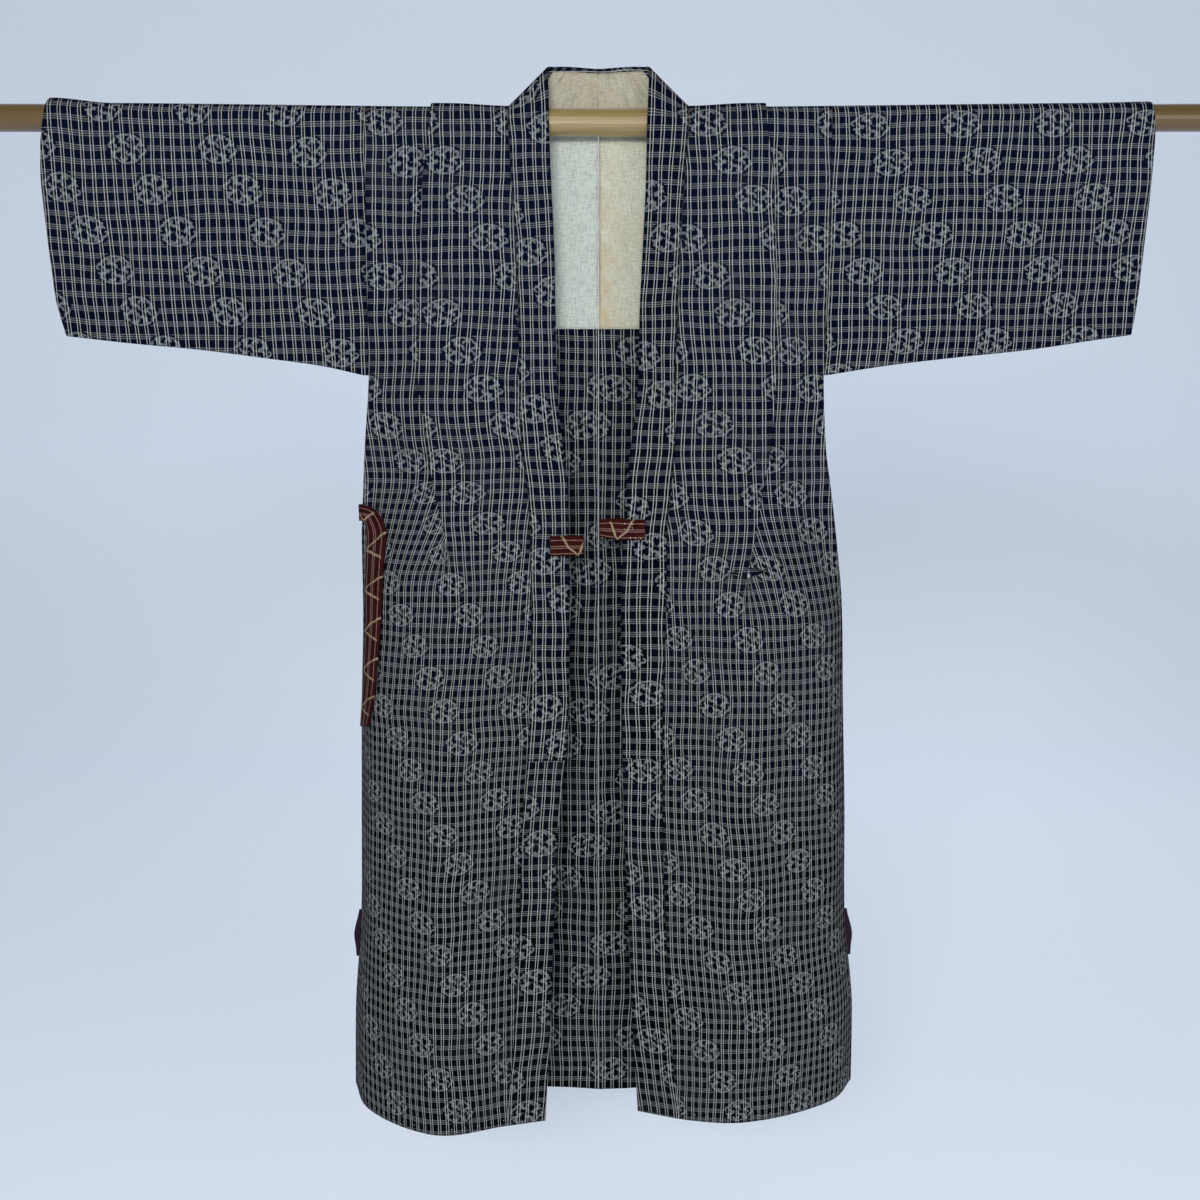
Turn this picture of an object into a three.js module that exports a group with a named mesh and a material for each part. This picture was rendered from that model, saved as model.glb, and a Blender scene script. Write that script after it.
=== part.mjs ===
// A child's unlined cotton kimono, hung open at the front on a wooden rod that runs
// through both sleeves. Millimetres. X runs along the rod to the right as seen from the
// front, Y runs from the front to the back, Z is up. The origin is the middle of the rod.
import * as THREE from 'three';

// Wooden rod
const ROD_RADIUS = 14;
const ROD_HALF_LENGTH = 650;
const ROD_SAG = 5;              // the ends lie this much higher than the middle

// Cloth
const CLOTH = 1.2;              // wall of the check cotton
const COLLAR_CLOTH = 2.2;       // the collar band is folded double
const LINING_CLOTH = 1.0;       // plain cream cotton inside the shoulders and the neck
const TIE_CLOTH = 1.4;          // maroon ties, sewn as flat tubes
const SEAM_GAP = 0.3;           // between two pieces at a seam
const SEAM_EDGE = SEAM_GAP / 2 + 0.1;   // how far each piece stops short of the seam line
const LAYER_PITCH = 1.8;        // from one layer of a shoulder tuck to the next

// Heights above the rod's middle
const HEM_Z = -1131;
const SLEEVE_FOOT_Z = -263;     // where the sleeve's bottom meets the body
const SIDE_OPENING_FOOT_Z = -428;
const COLLAR_END_Z = -690;      // the collar ends here and the overlap strip goes on below it
const SHOULDER_LINING_FOOT_Z = -213;
const NECK_TOP_Z = 60;

// Distances out from the rod's axis to the middle of each layer where it lies on the rod
const SLEEVE_ON_ROD = ROD_RADIUS + SEAM_GAP + CLOTH / 2;
const LINING_ON_ROD = ROD_RADIUS + SEAM_GAP + LINING_CLOTH / 2;
const BODY_ON_ROD = LINING_ON_ROD + (LINING_CLOTH + CLOTH) / 2 + SEAM_GAP;

const NECK_HALF = 95;           // half the neck opening, measured along the rod
const NECK_SEAM_ANGLE = 60;     // degrees up from level, at the back of the rod
const TUCK_DEPTH = 26.5;        // a shoulder tuck takes up twice this width of cloth
const TUCK_RELEASE = 140;       // height over which the tuck opens out below its last stitch
const CHEEK_ACROSS = 0.22;      // the cloth turns forward from the side seam: at this part of
const CHEEK_OUT = 0.5;          // the way to the ridge it has come this part of the way out

// The front, one row for each height. The widths are distances from the garment's middle:
// the front edge, the collar or overlap seam, the fold of the shoulder tuck or the ridge
// below it, and the side seam. The other three are places of these lines along Y.
const LEFT_FRONT = [
  { z: 0, edge: 52, seam: 95, fold: 175, side: 246, edgeY: -16.6, seamY: -16.2, foldY: -18.5 },
  { z: -60, edge: 50, seam: 92, fold: 184, side: 247, edgeY: -17.5, seamY: -17, foldY: -18.7 },
  { z: -130, edge: 47, seam: 88, fold: 188, side: 249, edgeY: -19, seamY: -18, foldY: -19 },
  { z: -200, edge: 46, seam: 86, fold: 191, side: 250, edgeY: -20, seamY: -19, foldY: -20 },
  { z: -265, edge: 45, seam: 86, fold: 193, side: 252, edgeY: -22, seamY: -21, foldY: -22 },
  { z: -340, edge: 39, seam: 84, fold: 184, side: 258, edgeY: -25, seamY: -25, foldY: -29 },
  { z: -390, edge: 33, seam: 77, fold: 178, side: 262, edgeY: -28, seamY: -29, foldY: -38 },
  { z: -440, edge: 32, seam: 75, fold: 176, side: 266, edgeY: -30, seamY: -32, foldY: -46 },
  { z: -520, edge: 32, seam: 74, fold: 176, side: 268, edgeY: -33, seamY: -36, foldY: -56 },
  { z: -640, edge: 34, seam: 77, fold: 176, side: 275, edgeY: -37, seamY: -41, foldY: -66 },
  { z: -770, edge: 46, seam: 86, fold: 178, side: 281, edgeY: -41, seamY: -46, foldY: -73 },
  { z: -900, edge: 52, seam: 91, fold: 181, side: 287, edgeY: -44, seamY: -50, foldY: -76 },
  { z: -1030, edge: 57, seam: 99, fold: 184, side: 299, edgeY: -46, seamY: -53, foldY: -76 },
  { z: HEM_Z, edge: 63, seam: 107, fold: 188, side: 303, edgeY: -46, seamY: -56, foldY: -75 },
];
const RIGHT_FRONT = [
  { z: 0, edge: 51, seam: 95, fold: 175, side: 245, edgeY: -16.6, seamY: -16.2, foldY: -18.5 },
  { z: -60, edge: 50, seam: 91, fold: 183, side: 246, edgeY: -17.5, seamY: -17, foldY: -18.7 },
  { z: -130, edge: 47, seam: 87, fold: 187, side: 247, edgeY: -19, seamY: -18, foldY: -19 },
  { z: -200, edge: 44, seam: 85, fold: 189, side: 247, edgeY: -20, seamY: -19, foldY: -20 },
  { z: -265, edge: 43, seam: 83, fold: 190, side: 247, edgeY: -22, seamY: -21, foldY: -22 },
  { z: -340, edge: 35, seam: 83, fold: 186, side: 251, edgeY: -24, seamY: -24, foldY: -26 },
  { z: -390, edge: 30, seam: 79, fold: 177, side: 259, edgeY: -26, seamY: -27, foldY: -32 },
  { z: -440, edge: 27, seam: 75, fold: 173, side: 267, edgeY: -27, seamY: -28, foldY: -39 },
  { z: -520, edge: 25, seam: 75, fold: 173, side: 277, edgeY: -29, seamY: -31, foldY: -46 },
  { z: -640, edge: 26, seam: 72, fold: 172, side: 284, edgeY: -31, seamY: -34, foldY: -53 },
  { z: -770, edge: 29, seam: 73, fold: 171, side: 292, edgeY: -30, seamY: -36, foldY: -55 },
  { z: -900, edge: 35, seam: 78, fold: 170, side: 298, edgeY: -28, seamY: -38, foldY: -55 },
  { z: -1030, edge: 41, seam: 85, fold: 169, side: 313, edgeY: -27, seamY: -40, foldY: -53 },
  { z: HEM_Z, edge: 47, seam: 95, fold: 168, side: 316, edgeY: -26, seamY: -42, foldY: -51 },
];

// The back, the same for both halves: places along Y of the middle seam, of the line
// below the neck's corner and of the tuck's fold.
const BACK = [
  { z: 0, middleY: BODY_ON_ROD, neckY: BODY_ON_ROD, foldY: 18.5 },
  { z: -130, middleY: 17, neckY: 17.2, foldY: 19 },
  { z: -265, middleY: 17.5, neckY: 19, foldY: 23 },
  { z: -340, middleY: 18, neckY: 22, foldY: 29 },
  { z: -440, middleY: 18, neckY: 26, foldY: 38 },
  { z: -640, middleY: 19, neckY: 29, foldY: 42 },
  { z: -900, middleY: 20, neckY: 30, foldY: 41 },
  { z: HEM_Z, middleY: 20, neckY: 29, foldY: 39 },
];

// The side edges below the sleeve: the opening's two lips, then the closed side seam.
const SIDE_LIPS = [
  { z: SLEEVE_FOOT_Z, frontY: -2.2, backY: 2.2 },
  { z: -300, frontY: -5, backY: 5 },
  { z: -350, frontY: -6, backY: 8 },
  { z: -400, frontY: -3, backY: 7 },
  { z: SIDE_OPENING_FOOT_Z, frontY: 0.8, backY: 2.4 },
];
const SIDE_SEAM = [
  { z: SIDE_OPENING_FOOT_Z, left: 1.6, right: 1.6 },
  { z: -520, left: 7, right: 8 },
  { z: -640, left: 15, right: 16 },
  { z: -770, left: 23, right: 25 },
  { z: -900, left: 30, right: 33 },
  { z: -1030, left: 34, right: 40 },
  { z: HEM_Z, left: 36, right: 44 },
];

// The sleeves: height of the bottom edge at distances from the garment's middle, and the
// distance of the cuff edge at heights below the rod.
const LEFT_SLEEVE_FOOT = [
  { x: 252, z: SLEEVE_FOOT_Z },
  { x: 300, z: -253 },
  { x: 370, z: -244 },
  { x: 445, z: -235 },
  { x: 515, z: -229 },
  { x: 590, z: -221 },
];
const RIGHT_SLEEVE_FOOT = [
  { x: 247, z: SLEEVE_FOOT_Z },
  { x: 320, z: -252 },
  { x: 400, z: -243 },
  { x: 470, z: -236 },
  { x: 540, z: -226 },
  { x: 590, z: -219 },
];
const LEFT_CUFF = [
  { z: 25, x: 577 }, { z: -24, x: 587 }, { z: -65, x: 590 },
  { z: -118, x: 589 }, { z: -180, x: 587 }, { z: -225, x: 579 },
];
const RIGHT_CUFF = [
  { z: 25, x: 581 }, { z: -24, x: 585 }, { z: -65, x: 585 },
  { z: -118, x: 584 }, { z: -180, x: 583 }, { z: -225, x: 580 },
];
const SLEEVE_SLACK = 1.8;       // power of the curve by which the sleeve narrows downwards
const SLEEVE_FOOT_HALF = 2.2;   // half the sleeve's depth just above its bottom fold

// The collar beside the neck: its seam goes over the rod at an angle (180 is the front of
// the rod, 90 its top) while its free edge rises to the tip and goes over to the back.
const COLLAR_FOLD = [
  { angle: 150, x: 52, y: -15, z: 22 },
  { angle: 122, x: 53, y: -11, z: 43 },
  { angle: 96, x: 54.5, y: -4, z: 57 },
  { angle: 76, x: 54, y: 5, z: 60.5 },
];
const COLLAR_EASE = 0.8;        // the band stops this far short of the neck's corner
const COLLAR_SEAM_ANGLE = 64;
const STAND_SEAM_HALF = 92;
const STAND_TOP_HALF = 50;
const STAND_STATIONS = [-1, -2 / 3, -1 / 3, 0, 1 / 3, 2 / 3, 1];
const SHOULDER_LINING_HALF = 138;

// The ties, row by row: the upper edge at x, y, z and the lower edge at toX, toY, toZ.
const LEFT_TIE = [
  { x: -53, y: -34.1, z: -437, toZ: -459 },
  { x: -36, y: -33.4, z: -436.5, toZ: -458.5 },
  { x: -20, y: -32.8, z: -437, toZ: -458 },
  { x: -18, y: -32, z: -437, toZ: -458 },
  { x: -17.2, y: -30.3, z: -437, toZ: -458 },
  { x: -18, y: -28.6, z: -437, toZ: -458 },
  { x: -22, y: -27.6, z: -437, toZ: -458 },
  { x: -50, y: -27, z: -435, toZ: -456 },
  { x: -100, y: -20, z: -432, toZ: -453 },
  { x: -160, y: -11, z: -424, toZ: -445 },
  { x: -215, y: -4, z: -414, toZ: -435 },
  { x: -248, y: 0.5, z: -407, toZ: -426 },
  { x: -259, y: 1.4, z: -405, toZ: -424 },
  { x: -265.5, y: 1.2, z: -405, toZ: -423.5 },
  { x: -267.6, y: -0.4, z: -405, toZ: -423.5 },
];
const LEFT_TIE_TAIL = [
  { z: -405, outer: 262, inner: 262, innerZ: -423 },
  { z: -408, outer: 250, inner: 258, innerZ: -424 },
  { z: -412, outer: 243, inner: 257, innerZ: -430 },
  { z: -432, outer: 232, inner: 256, innerZ: -436 },
  { z: -465, outer: 234, inner: 256 },
  { z: -498, outer: 236, inner: 257 },
  { z: -540, outer: 239, inner: 258 },
  { z: -575, outer: 243, inner: 261 },
  { z: -610, outer: 247, inner: 264 },
  { z: -654, outer: 257, inner: 271, innerZ: -662 },
];
const TIE_LIFT = 3.2;           // the hanging end stands this clear of the cloth behind it
const RIGHT_TIE = [
  { x: 51, y: -30.2, z: -419, toZ: -441 },
  { x: 30, y: -30, z: -418.5, toZ: -441.5 },
  { x: 12, y: -30, z: -418, toZ: -440 },
  { x: 3, y: -29.8, z: -419, toZ: -438 },
  { x: 1.6, y: -28.6, z: -419, toZ: -438 },
  { x: 1.6, y: -26.6, z: -419, toZ: -438 },
  { x: 3, y: -25, z: -419, toZ: -438 },
  { x: 24, y: -24.2, z: -418, toZ: -440 },
  { x: 58, y: -23.4, z: -417, toZ: -439 },
  { x: 72, y: -23, z: -418, toX: 62, toZ: -440 },
  { x: 84, y: -22.6, z: -425, toX: 63, toZ: -446 },
  { x: 85, y: -22.4, z: -445, toX: 63, toZ: -455 },
  { x: 85, y: -22, z: -520, toX: 64, toZ: -520 },
  { x: 86, y: -21.5, z: -610, toX: 65, toZ: -610 },
  { x: 85, y: -21, z: -700, toX: 66, toZ: -700 },
  { x: 84, y: -21, z: -790, toX: 66, toZ: -790 },
];

// The plum tabs let into the side seams: how far each row stands out from the seam.
const SIDE_TAB_GAP = 1.7;       // clear of the seam edge
const SIDE_TAB = [
  { z: -899, off: 1.8 }, { z: -908, off: 3.2 }, { z: -919, off: 5.6 }, { z: -930, off: 6.6 },
  { z: -941, off: 5.4 }, { z: -952, off: 3.2 }, { z: -960, off: 1.8 },
];

// The grids: cells across each stretch of the body's section, across the bands and ties,
// and along a sleeve.
const OUTER_CELLS = 4;
const TURN_CELLS = 3;
const LAYER_CELLS = 2;
const INNER_CELLS = 4;
const NECK_CELLS = 3;
const BAND_CELLS = 3;
const TIE_CELLS = 2;
const SLEEVE_CELLS = 9;
const ROD_SIDES = 24;
const ROD_CELLS = 16;
const LOWER_HEIGHTS = [HEM_Z, -1040, -950, -860, -770, COLLAR_END_Z, -625, -575];
const UPPER_HEIGHTS = [-310, SLEEVE_FOOT_Z, -200, -130, -60, 0];
const ROD_STEP = 20;            // degrees from one row to the next over the rod
const ROD_ANGLES = [160, 140, 120, 100, 80, NECK_SEAM_ANGLE, 40, 20];
const LINING_ANGLES = [NECK_SEAM_ANGLE, 40, 20];
const SLEEVE_STEPS = [0, 0.25, 0.5, 0.75, 1];

const LEFT = { sign: -1, front: LEFT_FRONT, seamSide: 'left', tuckEnd: -362,
  sleeveFoot: LEFT_SLEEVE_FOOT, cuff: LEFT_CUFF, cuffLift: 5 };
const RIGHT = { sign: 1, front: RIGHT_FRONT, seamSide: 'right', tuckEnd: -400,
  sleeveFoot: RIGHT_SLEEVE_FOOT, cuff: RIGHT_CUFF, cuffLift: 1 };

const fabric = (color) => new THREE.MeshStandardMaterial({ color, roughness: 0.9, metalness: 0 });
const CHECK_COTTON = 0x2b3242;
const WHITE_COTTON = 0xd9d6cc;
const CREAM_COTTON = 0xd8c9a6;
const MAROON_COTTON = 0x4a1c17;
const PLUM_COTTON = 0x2a1426;
const VARNISHED_WOOD = 0xb98a4e;

const mix = (a, b, t) => a + (b - a) * t;
const clamp01 = (t) => Math.min(1, Math.max(0, t));
const smooth = (t) => clamp01(t) ** 2 * (3 - 2 * clamp01(t));
const radians = THREE.MathUtils.degToRad;

// One column of a table at a place between its rows, on a smooth curve without overshoot.
function along(table, key, column, at) {
  const rising = table[0][key] < table[table.length - 1][key];
  const rows = rising ? table : [...table].reverse();
  const last = rows.length - 1;
  if (at <= rows[0][key]) return rows[0][column];
  if (at >= rows[last][key]) return rows[last][column];
  const i = rows.findIndex((row) => row[key] > at) - 1;
  const slopeOf = (k) => (rows[k + 1][column] - rows[k][column]) / (rows[k + 1][key] - rows[k][key]);
  const tangentAt = (k) => {
    if (k === 0) return slopeOf(0);
    if (k === last) return slopeOf(last - 1);
    const before = slopeOf(k - 1);
    const after = slopeOf(k);
    return before * after <= 0 ? 0 : (2 * before * after) / (before + after);
  };
  const width = rows[i + 1][key] - rows[i][key];
  const t = (at - rows[i][key]) / width;
  return (1 + 2 * t) * (1 - t) ** 2 * rows[i][column] + t * (1 - t) ** 2 * width * tangentAt(i)
    + t * t * (3 - 2 * t) * rows[i + 1][column] + t * t * (t - 1) * width * tangentAt(i + 1);
}

// Height of the rod's axis: level at both ends, lowest in the middle.
const rodZ = (x) => ROD_SAG * Math.sin((Math.PI / 2) * (x / ROD_HALF_LENGTH)) ** 2;

// A point of a layer that lies over the rod: 180 degrees is the front of the rod and 90 its
// top. The rows stand out a little, so that the flat cells between them clear the rod.
function overRod(x, reach, degrees) {
  const angle = radians(degrees);
  const out = reach / Math.cos(radians(ROD_STEP / 2));
  return new THREE.Vector3(x, out * Math.cos(angle), rodZ(x) + out * Math.sin(angle));
}

// A closed wall around a grid of points. has(i, j) says whether the cell between rows
// i, i + 1 and columns j, j + 1 is cloth; loop joins the last row to the first.
function wall(rows, thickness, { has = () => true, loop = false } = {}) {
  const nI = rows.length;
  const nJ = rows[0].length;
  const cellRows = loop ? nI : nI - 1;
  const cell = (i, j) => {
    const row = loop ? (i + nI) % nI : i;
    return row >= 0 && row < cellRows && j >= 0 && j < nJ - 1 && has(row, j);
  };
  const at = (i, j) => rows[(i + nI) % nI][j];
  const cellNormal = (i, j) => {
    const across = at(i + 1, j + 1).clone().sub(at(i, j));
    const other = at(i, j + 1).clone().sub(at(i + 1, j));
    return across.cross(other).normalize();
  };
  const positions = [];
  const index = new Map();
  const vertex = (i, j, level) => {
    const row = (i + nI) % nI;
    const key = `${row},${j},${level}`;
    if (index.has(key)) return index.get(key);
    const normals = [];
    for (const [di, dj] of [[0, 0], [-1, 0], [0, -1], [-1, -1]]) {
      if (cell(row + di, j + dj)) normals.push(cellNormal(row + di, j + dj));
    }
    const normal = normals.reduce((sum, n) => sum.add(n), new THREE.Vector3()).normalize();
    const spread = normals.reduce((sum, n) => sum + n.dot(normal), 0) / normals.length;
    const reach = (level * thickness) / 2 / Math.max(spread, 0.75);
    const point = at(row, j).clone().addScaledVector(normal, reach);
    positions.push(point.x, point.y, point.z);
    index.set(key, positions.length / 3 - 1);
    return positions.length / 3 - 1;
  };
  const faces = [];
  const quad = (a, b, c, d) => faces.push([a, b, c], [a, c, d]);
  for (let i = 0; i < cellRows; i += 1) {
    for (let j = 0; j < nJ - 1; j += 1) {
      if (!cell(i, j)) continue;
      const outer = [[i, j], [i, j + 1], [i + 1, j + 1], [i + 1, j]].map(([r, c]) => vertex(r, c, 1));
      const inner = [[i, j], [i, j + 1], [i + 1, j + 1], [i + 1, j]].map(([r, c]) => vertex(r, c, -1));
      quad(outer[3], outer[2], outer[1], outer[0]);
      quad(inner[0], inner[1], inner[2], inner[3]);
      const open = [!cell(i - 1, j), !cell(i, j + 1), !cell(i + 1, j), !cell(i, j - 1)];
      open.forEach((isOpen, side) => {
        const next = (side + 1) % 4;
        if (isOpen) quad(outer[side], outer[next], inner[next], inner[side]);
      });
    }
  }
  return closedGeometry(positions, faces);
}

// Turns the faces outwards, if need be, and makes the geometry.
function closedGeometry(positions, faces) {
  const corner = (k) => new THREE.Vector3().fromArray(positions, 3 * k);
  const volume = faces.reduce((sum, [a, b, c]) => sum + corner(a).dot(corner(b).cross(corner(c))), 0);
  const outward = volume > 0 ? faces : faces.map(([a, b, c]) => [a, c, b]);
  const geometry = new THREE.BufferGeometry();
  geometry.setAttribute('position', new THREE.Float32BufferAttribute(positions, 3));
  geometry.setIndex(outward.flat());
  geometry.computeVertexNormals();
  return geometry;
}

// Half the depth of the hanging sleeve, from 0 at the rod to 1 at the bottom fold.
const sleeveHalfDepth = (t) => mix(SLEEVE_ON_ROD, SLEEVE_FOOT_HALF, clamp01(t) ** SLEEVE_SLACK);

// Place along Y of the body's side edge, front or back.
function sideY(half, z, isBack) {
  const turn = isBack ? 1 : -1;
  if (z >= SLEEVE_FOOT_Z) return turn * sleeveHalfDepth(z / SLEEVE_FOOT_Z);
  if (z > SIDE_OPENING_FOOT_Z) return along(SIDE_LIPS, 'z', isBack ? 'backY' : 'frontY', z);
  return along(SIDE_SEAM, 'z', half.seamSide, z) + turn * (CLOTH / 2 + SEAM_GAP);
}

// The body's section at one height while the tuck is closed: pairs of distance from the
// middle and distance out from the rod's plane, from the side seam inwards. The tuck's
// three layers and its two turns lie between the outer part and the inner part. On the
// back the section goes on from the neck column to the middle seam.
function closedSection({ side, fold, seam, sideOut, foldOut, seamOut, middleOut }) {
  const points = [];
  const stitch = fold - TUCK_DEPTH;
  const underOut = foldOut - 2 * LAYER_PITCH;
  const turnRadius = LAYER_PITCH / 2;
  for (let k = 0; k <= OUTER_CELLS; k += 1) {
    const t = k / OUTER_CELLS;
    points.push([mix(side, stitch, t), mix(sideOut, underOut, smooth(t * 1.25))]);
  }
  for (let k = 1; k <= TURN_CELLS; k += 1) {
    const angle = (Math.PI * k) / TURN_CELLS;
    points.push([stitch - turnRadius * Math.sin(angle), underOut + turnRadius * (1 - Math.cos(angle))]);
  }
  for (let k = 1; k <= LAYER_CELLS; k += 1) {
    points.push([mix(stitch, fold, k / LAYER_CELLS), underOut + LAYER_PITCH]);
  }
  for (let k = 1; k <= TURN_CELLS; k += 1) {
    const angle = (Math.PI * k) / TURN_CELLS;
    points.push([fold + turnRadius * Math.sin(angle), foldOut - turnRadius * (1 + Math.cos(angle))]);
  }
  for (let k = 1; k <= INNER_CELLS; k += 1) {
    const t = k / INNER_CELLS;
    points.push([mix(fold, seam, t), mix(foldOut, seamOut, smooth((t - 0.25) / 0.75))]);
  }
  for (let k = 1; middleOut !== undefined && k <= NECK_CELLS; k += 1) {
    const t = k / NECK_CELLS;
    points.push([mix(seam, SEAM_EDGE, t), mix(seamOut, middleOut, t)]);
  }
  return points;
}

// The same columns laid along the open curve below the tuck, spaced as on the cloth.
function openSection(size, closed) {
  const { side, fold, seam, sideOut, foldOut, seamOut, middleOut } = size;
  const way = [[side, sideOut], [mix(side, fold, CHEEK_ACROSS), mix(sideOut, foldOut, CHEEK_OUT)],
    [fold, foldOut], [seam, seamOut]];
  if (middleOut !== undefined) way.push([SEAM_EDGE, middleOut]);
  const corners = way.map(([across, out]) => new THREE.Vector3(across, out, 0));
  const curve = new THREE.CatmullRomCurve3(corners, false, 'centripetal');
  const runs = [0];
  closed.slice(1).forEach(([across, out], k) => {
    runs.push(runs[k] + Math.hypot(across - closed[k][0], out - closed[k][1]));
  });
  return runs.map((run) => {
    const point = curve.getPointAt(clamp01(run / runs[runs.length - 1]));
    return [point.x, point.y];
  });
}

// The body's section at a height below the rod, for the front or the back of one half.
function bodySection(half, z, isBack) {
  const front = (column) => along(half.front, 'z', column, z);
  const back = (column) => along(BACK, 'z', column, z);
  const turn = isBack ? 1 : -1;
  const size = {
    side: front('side') - SEAM_EDGE,
    fold: front('fold'),
    seam: isBack ? NECK_HALF + SEAM_EDGE : front('seam') + SEAM_EDGE,
    sideOut: turn * sideY(half, z, isBack),
    foldOut: isBack ? back('foldY') : -front('foldY'),
    seamOut: isBack ? back('neckY') : -front('seamY'),
    middleOut: isBack ? back('middleY') : undefined,
  };
  const closed = closedSection(size);
  const opened = smooth((half.tuckEnd - z) / TUCK_RELEASE);
  const open = opened > 0 ? openSection(size, closed) : closed;
  return closed.map(([across, out], k) => ({
    across: mix(across, open[k][0], opened),
    out: mix(out, open[k][1], opened),
  }));
}

// Heights of the body's rows, from the hem to the rod.
function bodyHeights(half) {
  const released = [1, 0.8, 0.6, 0.4, 0.2, 0].map((t) => half.tuckEnd - t * TUCK_RELEASE);
  return [...LOWER_HEIGHTS, ...released, ...UPPER_HEIGHTS];
}

// One half of the body: a single length of cloth from the front hem over the rod to the
// back hem, with its tuck folded on both sides of the shoulder.
function bodyHalf(half) {
  const heights = bodyHeights(half);
  const onFront = (z) => bodySection(half, z, false)
    .map(({ across, out }) => new THREE.Vector3(half.sign * across, -out, z + (z === 0 ? rodZ(across) : 0)));
  const onBack = (z) => bodySection(half, z, true)
    .map(({ across, out }) => new THREE.Vector3(half.sign * across, out, z + (z === 0 ? rodZ(across) : 0)));
  const frontTop = bodySection(half, 0, false);
  const backTop = bodySection(half, 0, true);
  const onRod = (degrees) => backTop.map(({ across, out }, k) => {
    const frontOut = k < frontTop.length ? frontTop[k].out : out;
    return overRod(half.sign * across, mix(out, frontOut, degrees / 180), degrees);
  });
  const widen = (row) => [...row, ...Array.from({ length: NECK_CELLS }, () => row[row.length - 1])];
  const rows = [
    ...heights.map((z) => widen(onFront(z))),
    ...ROD_ANGLES.map(onRod),
    ...[...heights].reverse().map(onBack),
  ];
  const neckColumn = frontTop.length - 1;
  const neckRow = heights.length + ROD_ANGLES.indexOf(NECK_SEAM_ANGLE);
  return wall(rows, CLOTH, { has: (i, j) => j < neckColumn || i >= neckRow });
}

// A sleeve: one length of cloth folded over the rod and joined along the bottom, open at
// the cuff and into the body.
function sleeve(half) {
  const bodyX = (z) => along(half.front, 'z', 'side', z) + SEAM_EDGE;
  const cuffX = (z) => along(half.cuff, 'z', 'x', z);
  const section = (part) => {
    const x = mix(along(half.front, 'z', 'side', 0), half.cuff[2].x, part);
    const axisZ = rodZ(x) + half.cuffLift * smooth((part - 0.8) / 0.2);
    const foot = along(half.sleeveFoot, 'x', 'z', x);
    const side = (turn) => SLEEVE_STEPS.map((t) => [turn * sleeveHalfDepth(t), mix(axisZ, foot + 2, t)]);
    const over = ROD_ANGLES.map((degrees) => {
      const { y, z } = overRod(x, SLEEVE_ON_ROD, degrees);
      return [y, z + axisZ - rodZ(x)];
    });
    const fold = [[1.3, foot + 0.4], [0, foot], [-1.3, foot + 0.4]];
    return [...side(-1).reverse(), ...over, ...side(1), ...fold];
  };
  const parts = Array.from({ length: SLEEVE_CELLS + 1 }, (_, k) => k / SLEEVE_CELLS);
  const sections = parts.map(section);
  const rows = sections[0].map((_, i) => parts.map((part, j) => {
    const [y, z] = sections[j][i];
    return new THREE.Vector3(half.sign * mix(bodyX(z), cuffX(z), part), y, z);
  }));
  return wall(rows, CLOTH, { loop: true });
}

// Points from one end of a band's row to the other.
const spread = (from, to, cells) => Array.from({ length: cells + 1 },
  (_, k) => from.clone().lerp(to, k / cells));

// The collar's seam and free edge on the front of one half, at one height.
function frontBandRow(half, z) {
  const at = (column) => along(half.front, 'z', column, z);
  const lift = z === 0 ? rodZ(NECK_HALF) : 0;
  const seam = new THREE.Vector3(half.sign * (at('seam') - SEAM_EDGE), at('seamY'), z + lift);
  const edge = new THREE.Vector3(half.sign * at('edge'), at('edgeY'), z + lift);
  return spread(seam, edge, BAND_CELLS);
}

// The standing band behind the neck; t runs from -1 at the left fold to 1 at the right.
function standRow(t) {
  const away = Math.abs(t);
  const seam = overRod(t * STAND_SEAM_HALF, BODY_ON_ROD, COLLAR_SEAM_ANGLE);
  const top = new THREE.Vector3(t * STAND_TOP_HALF, mix(14, 10, away), mix(NECK_TOP_Z - 3, NECK_TOP_Z, away));
  return [seam, top];
}

// The collar: one band up the left front, turned over at 45 degrees beside the neck, along
// the standing back of the neck, and down the right front.
function collar() {
  const heightsOf = (half) => bodyHeights(half).filter((z) => z >= COLLAR_END_Z);
  const foldRow = (half, { angle, x, y, z }) => spread(
    overRod(half.sign * (NECK_HALF - COLLAR_EASE), BODY_ON_ROD, angle),
    new THREE.Vector3(half.sign * x, y, z),
    BAND_CELLS,
  );
  const side = (half) => [
    ...heightsOf(half).map((z) => frontBandRow(half, z)),
    ...COLLAR_FOLD.map((row) => foldRow(half, row)),
  ];
  const stand = STAND_STATIONS.map((t) => spread(...standRow(t), BAND_CELLS));
  return wall([...side(LEFT), ...stand, ...side(RIGHT).reverse()], COLLAR_CLOTH);
}

// The overlap strip that carries the front edge on from the collar's end to the hem.
function overlap(half) {
  const heights = LOWER_HEIGHTS.filter((z) => z < COLLAR_END_Z);
  const rows = [...heights, COLLAR_END_Z - SEAM_GAP].map((z) => frontBandRow(half, z));
  return wall(rows, CLOTH);
}

// Plain cotton on the inner side of the standing collar.
function collarLining() {
  const inwards = (COLLAR_CLOTH + LINING_CLOTH) / 2 + 2 * SEAM_GAP;
  const rows = [-0.88, -0.6, -0.3, 0, 0.3, 0.6, 0.88].map((t) => {
    const [seam, top] = standRow(t);
    const low = seam.clone().lerp(top, 0.06);
    const high = seam.clone().lerp(top, 0.88);
    return spread(low, high, BAND_CELLS).map((point) => point.setY(point.y - inwards));
  });
  return wall(rows, LINING_CLOTH);
}

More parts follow.
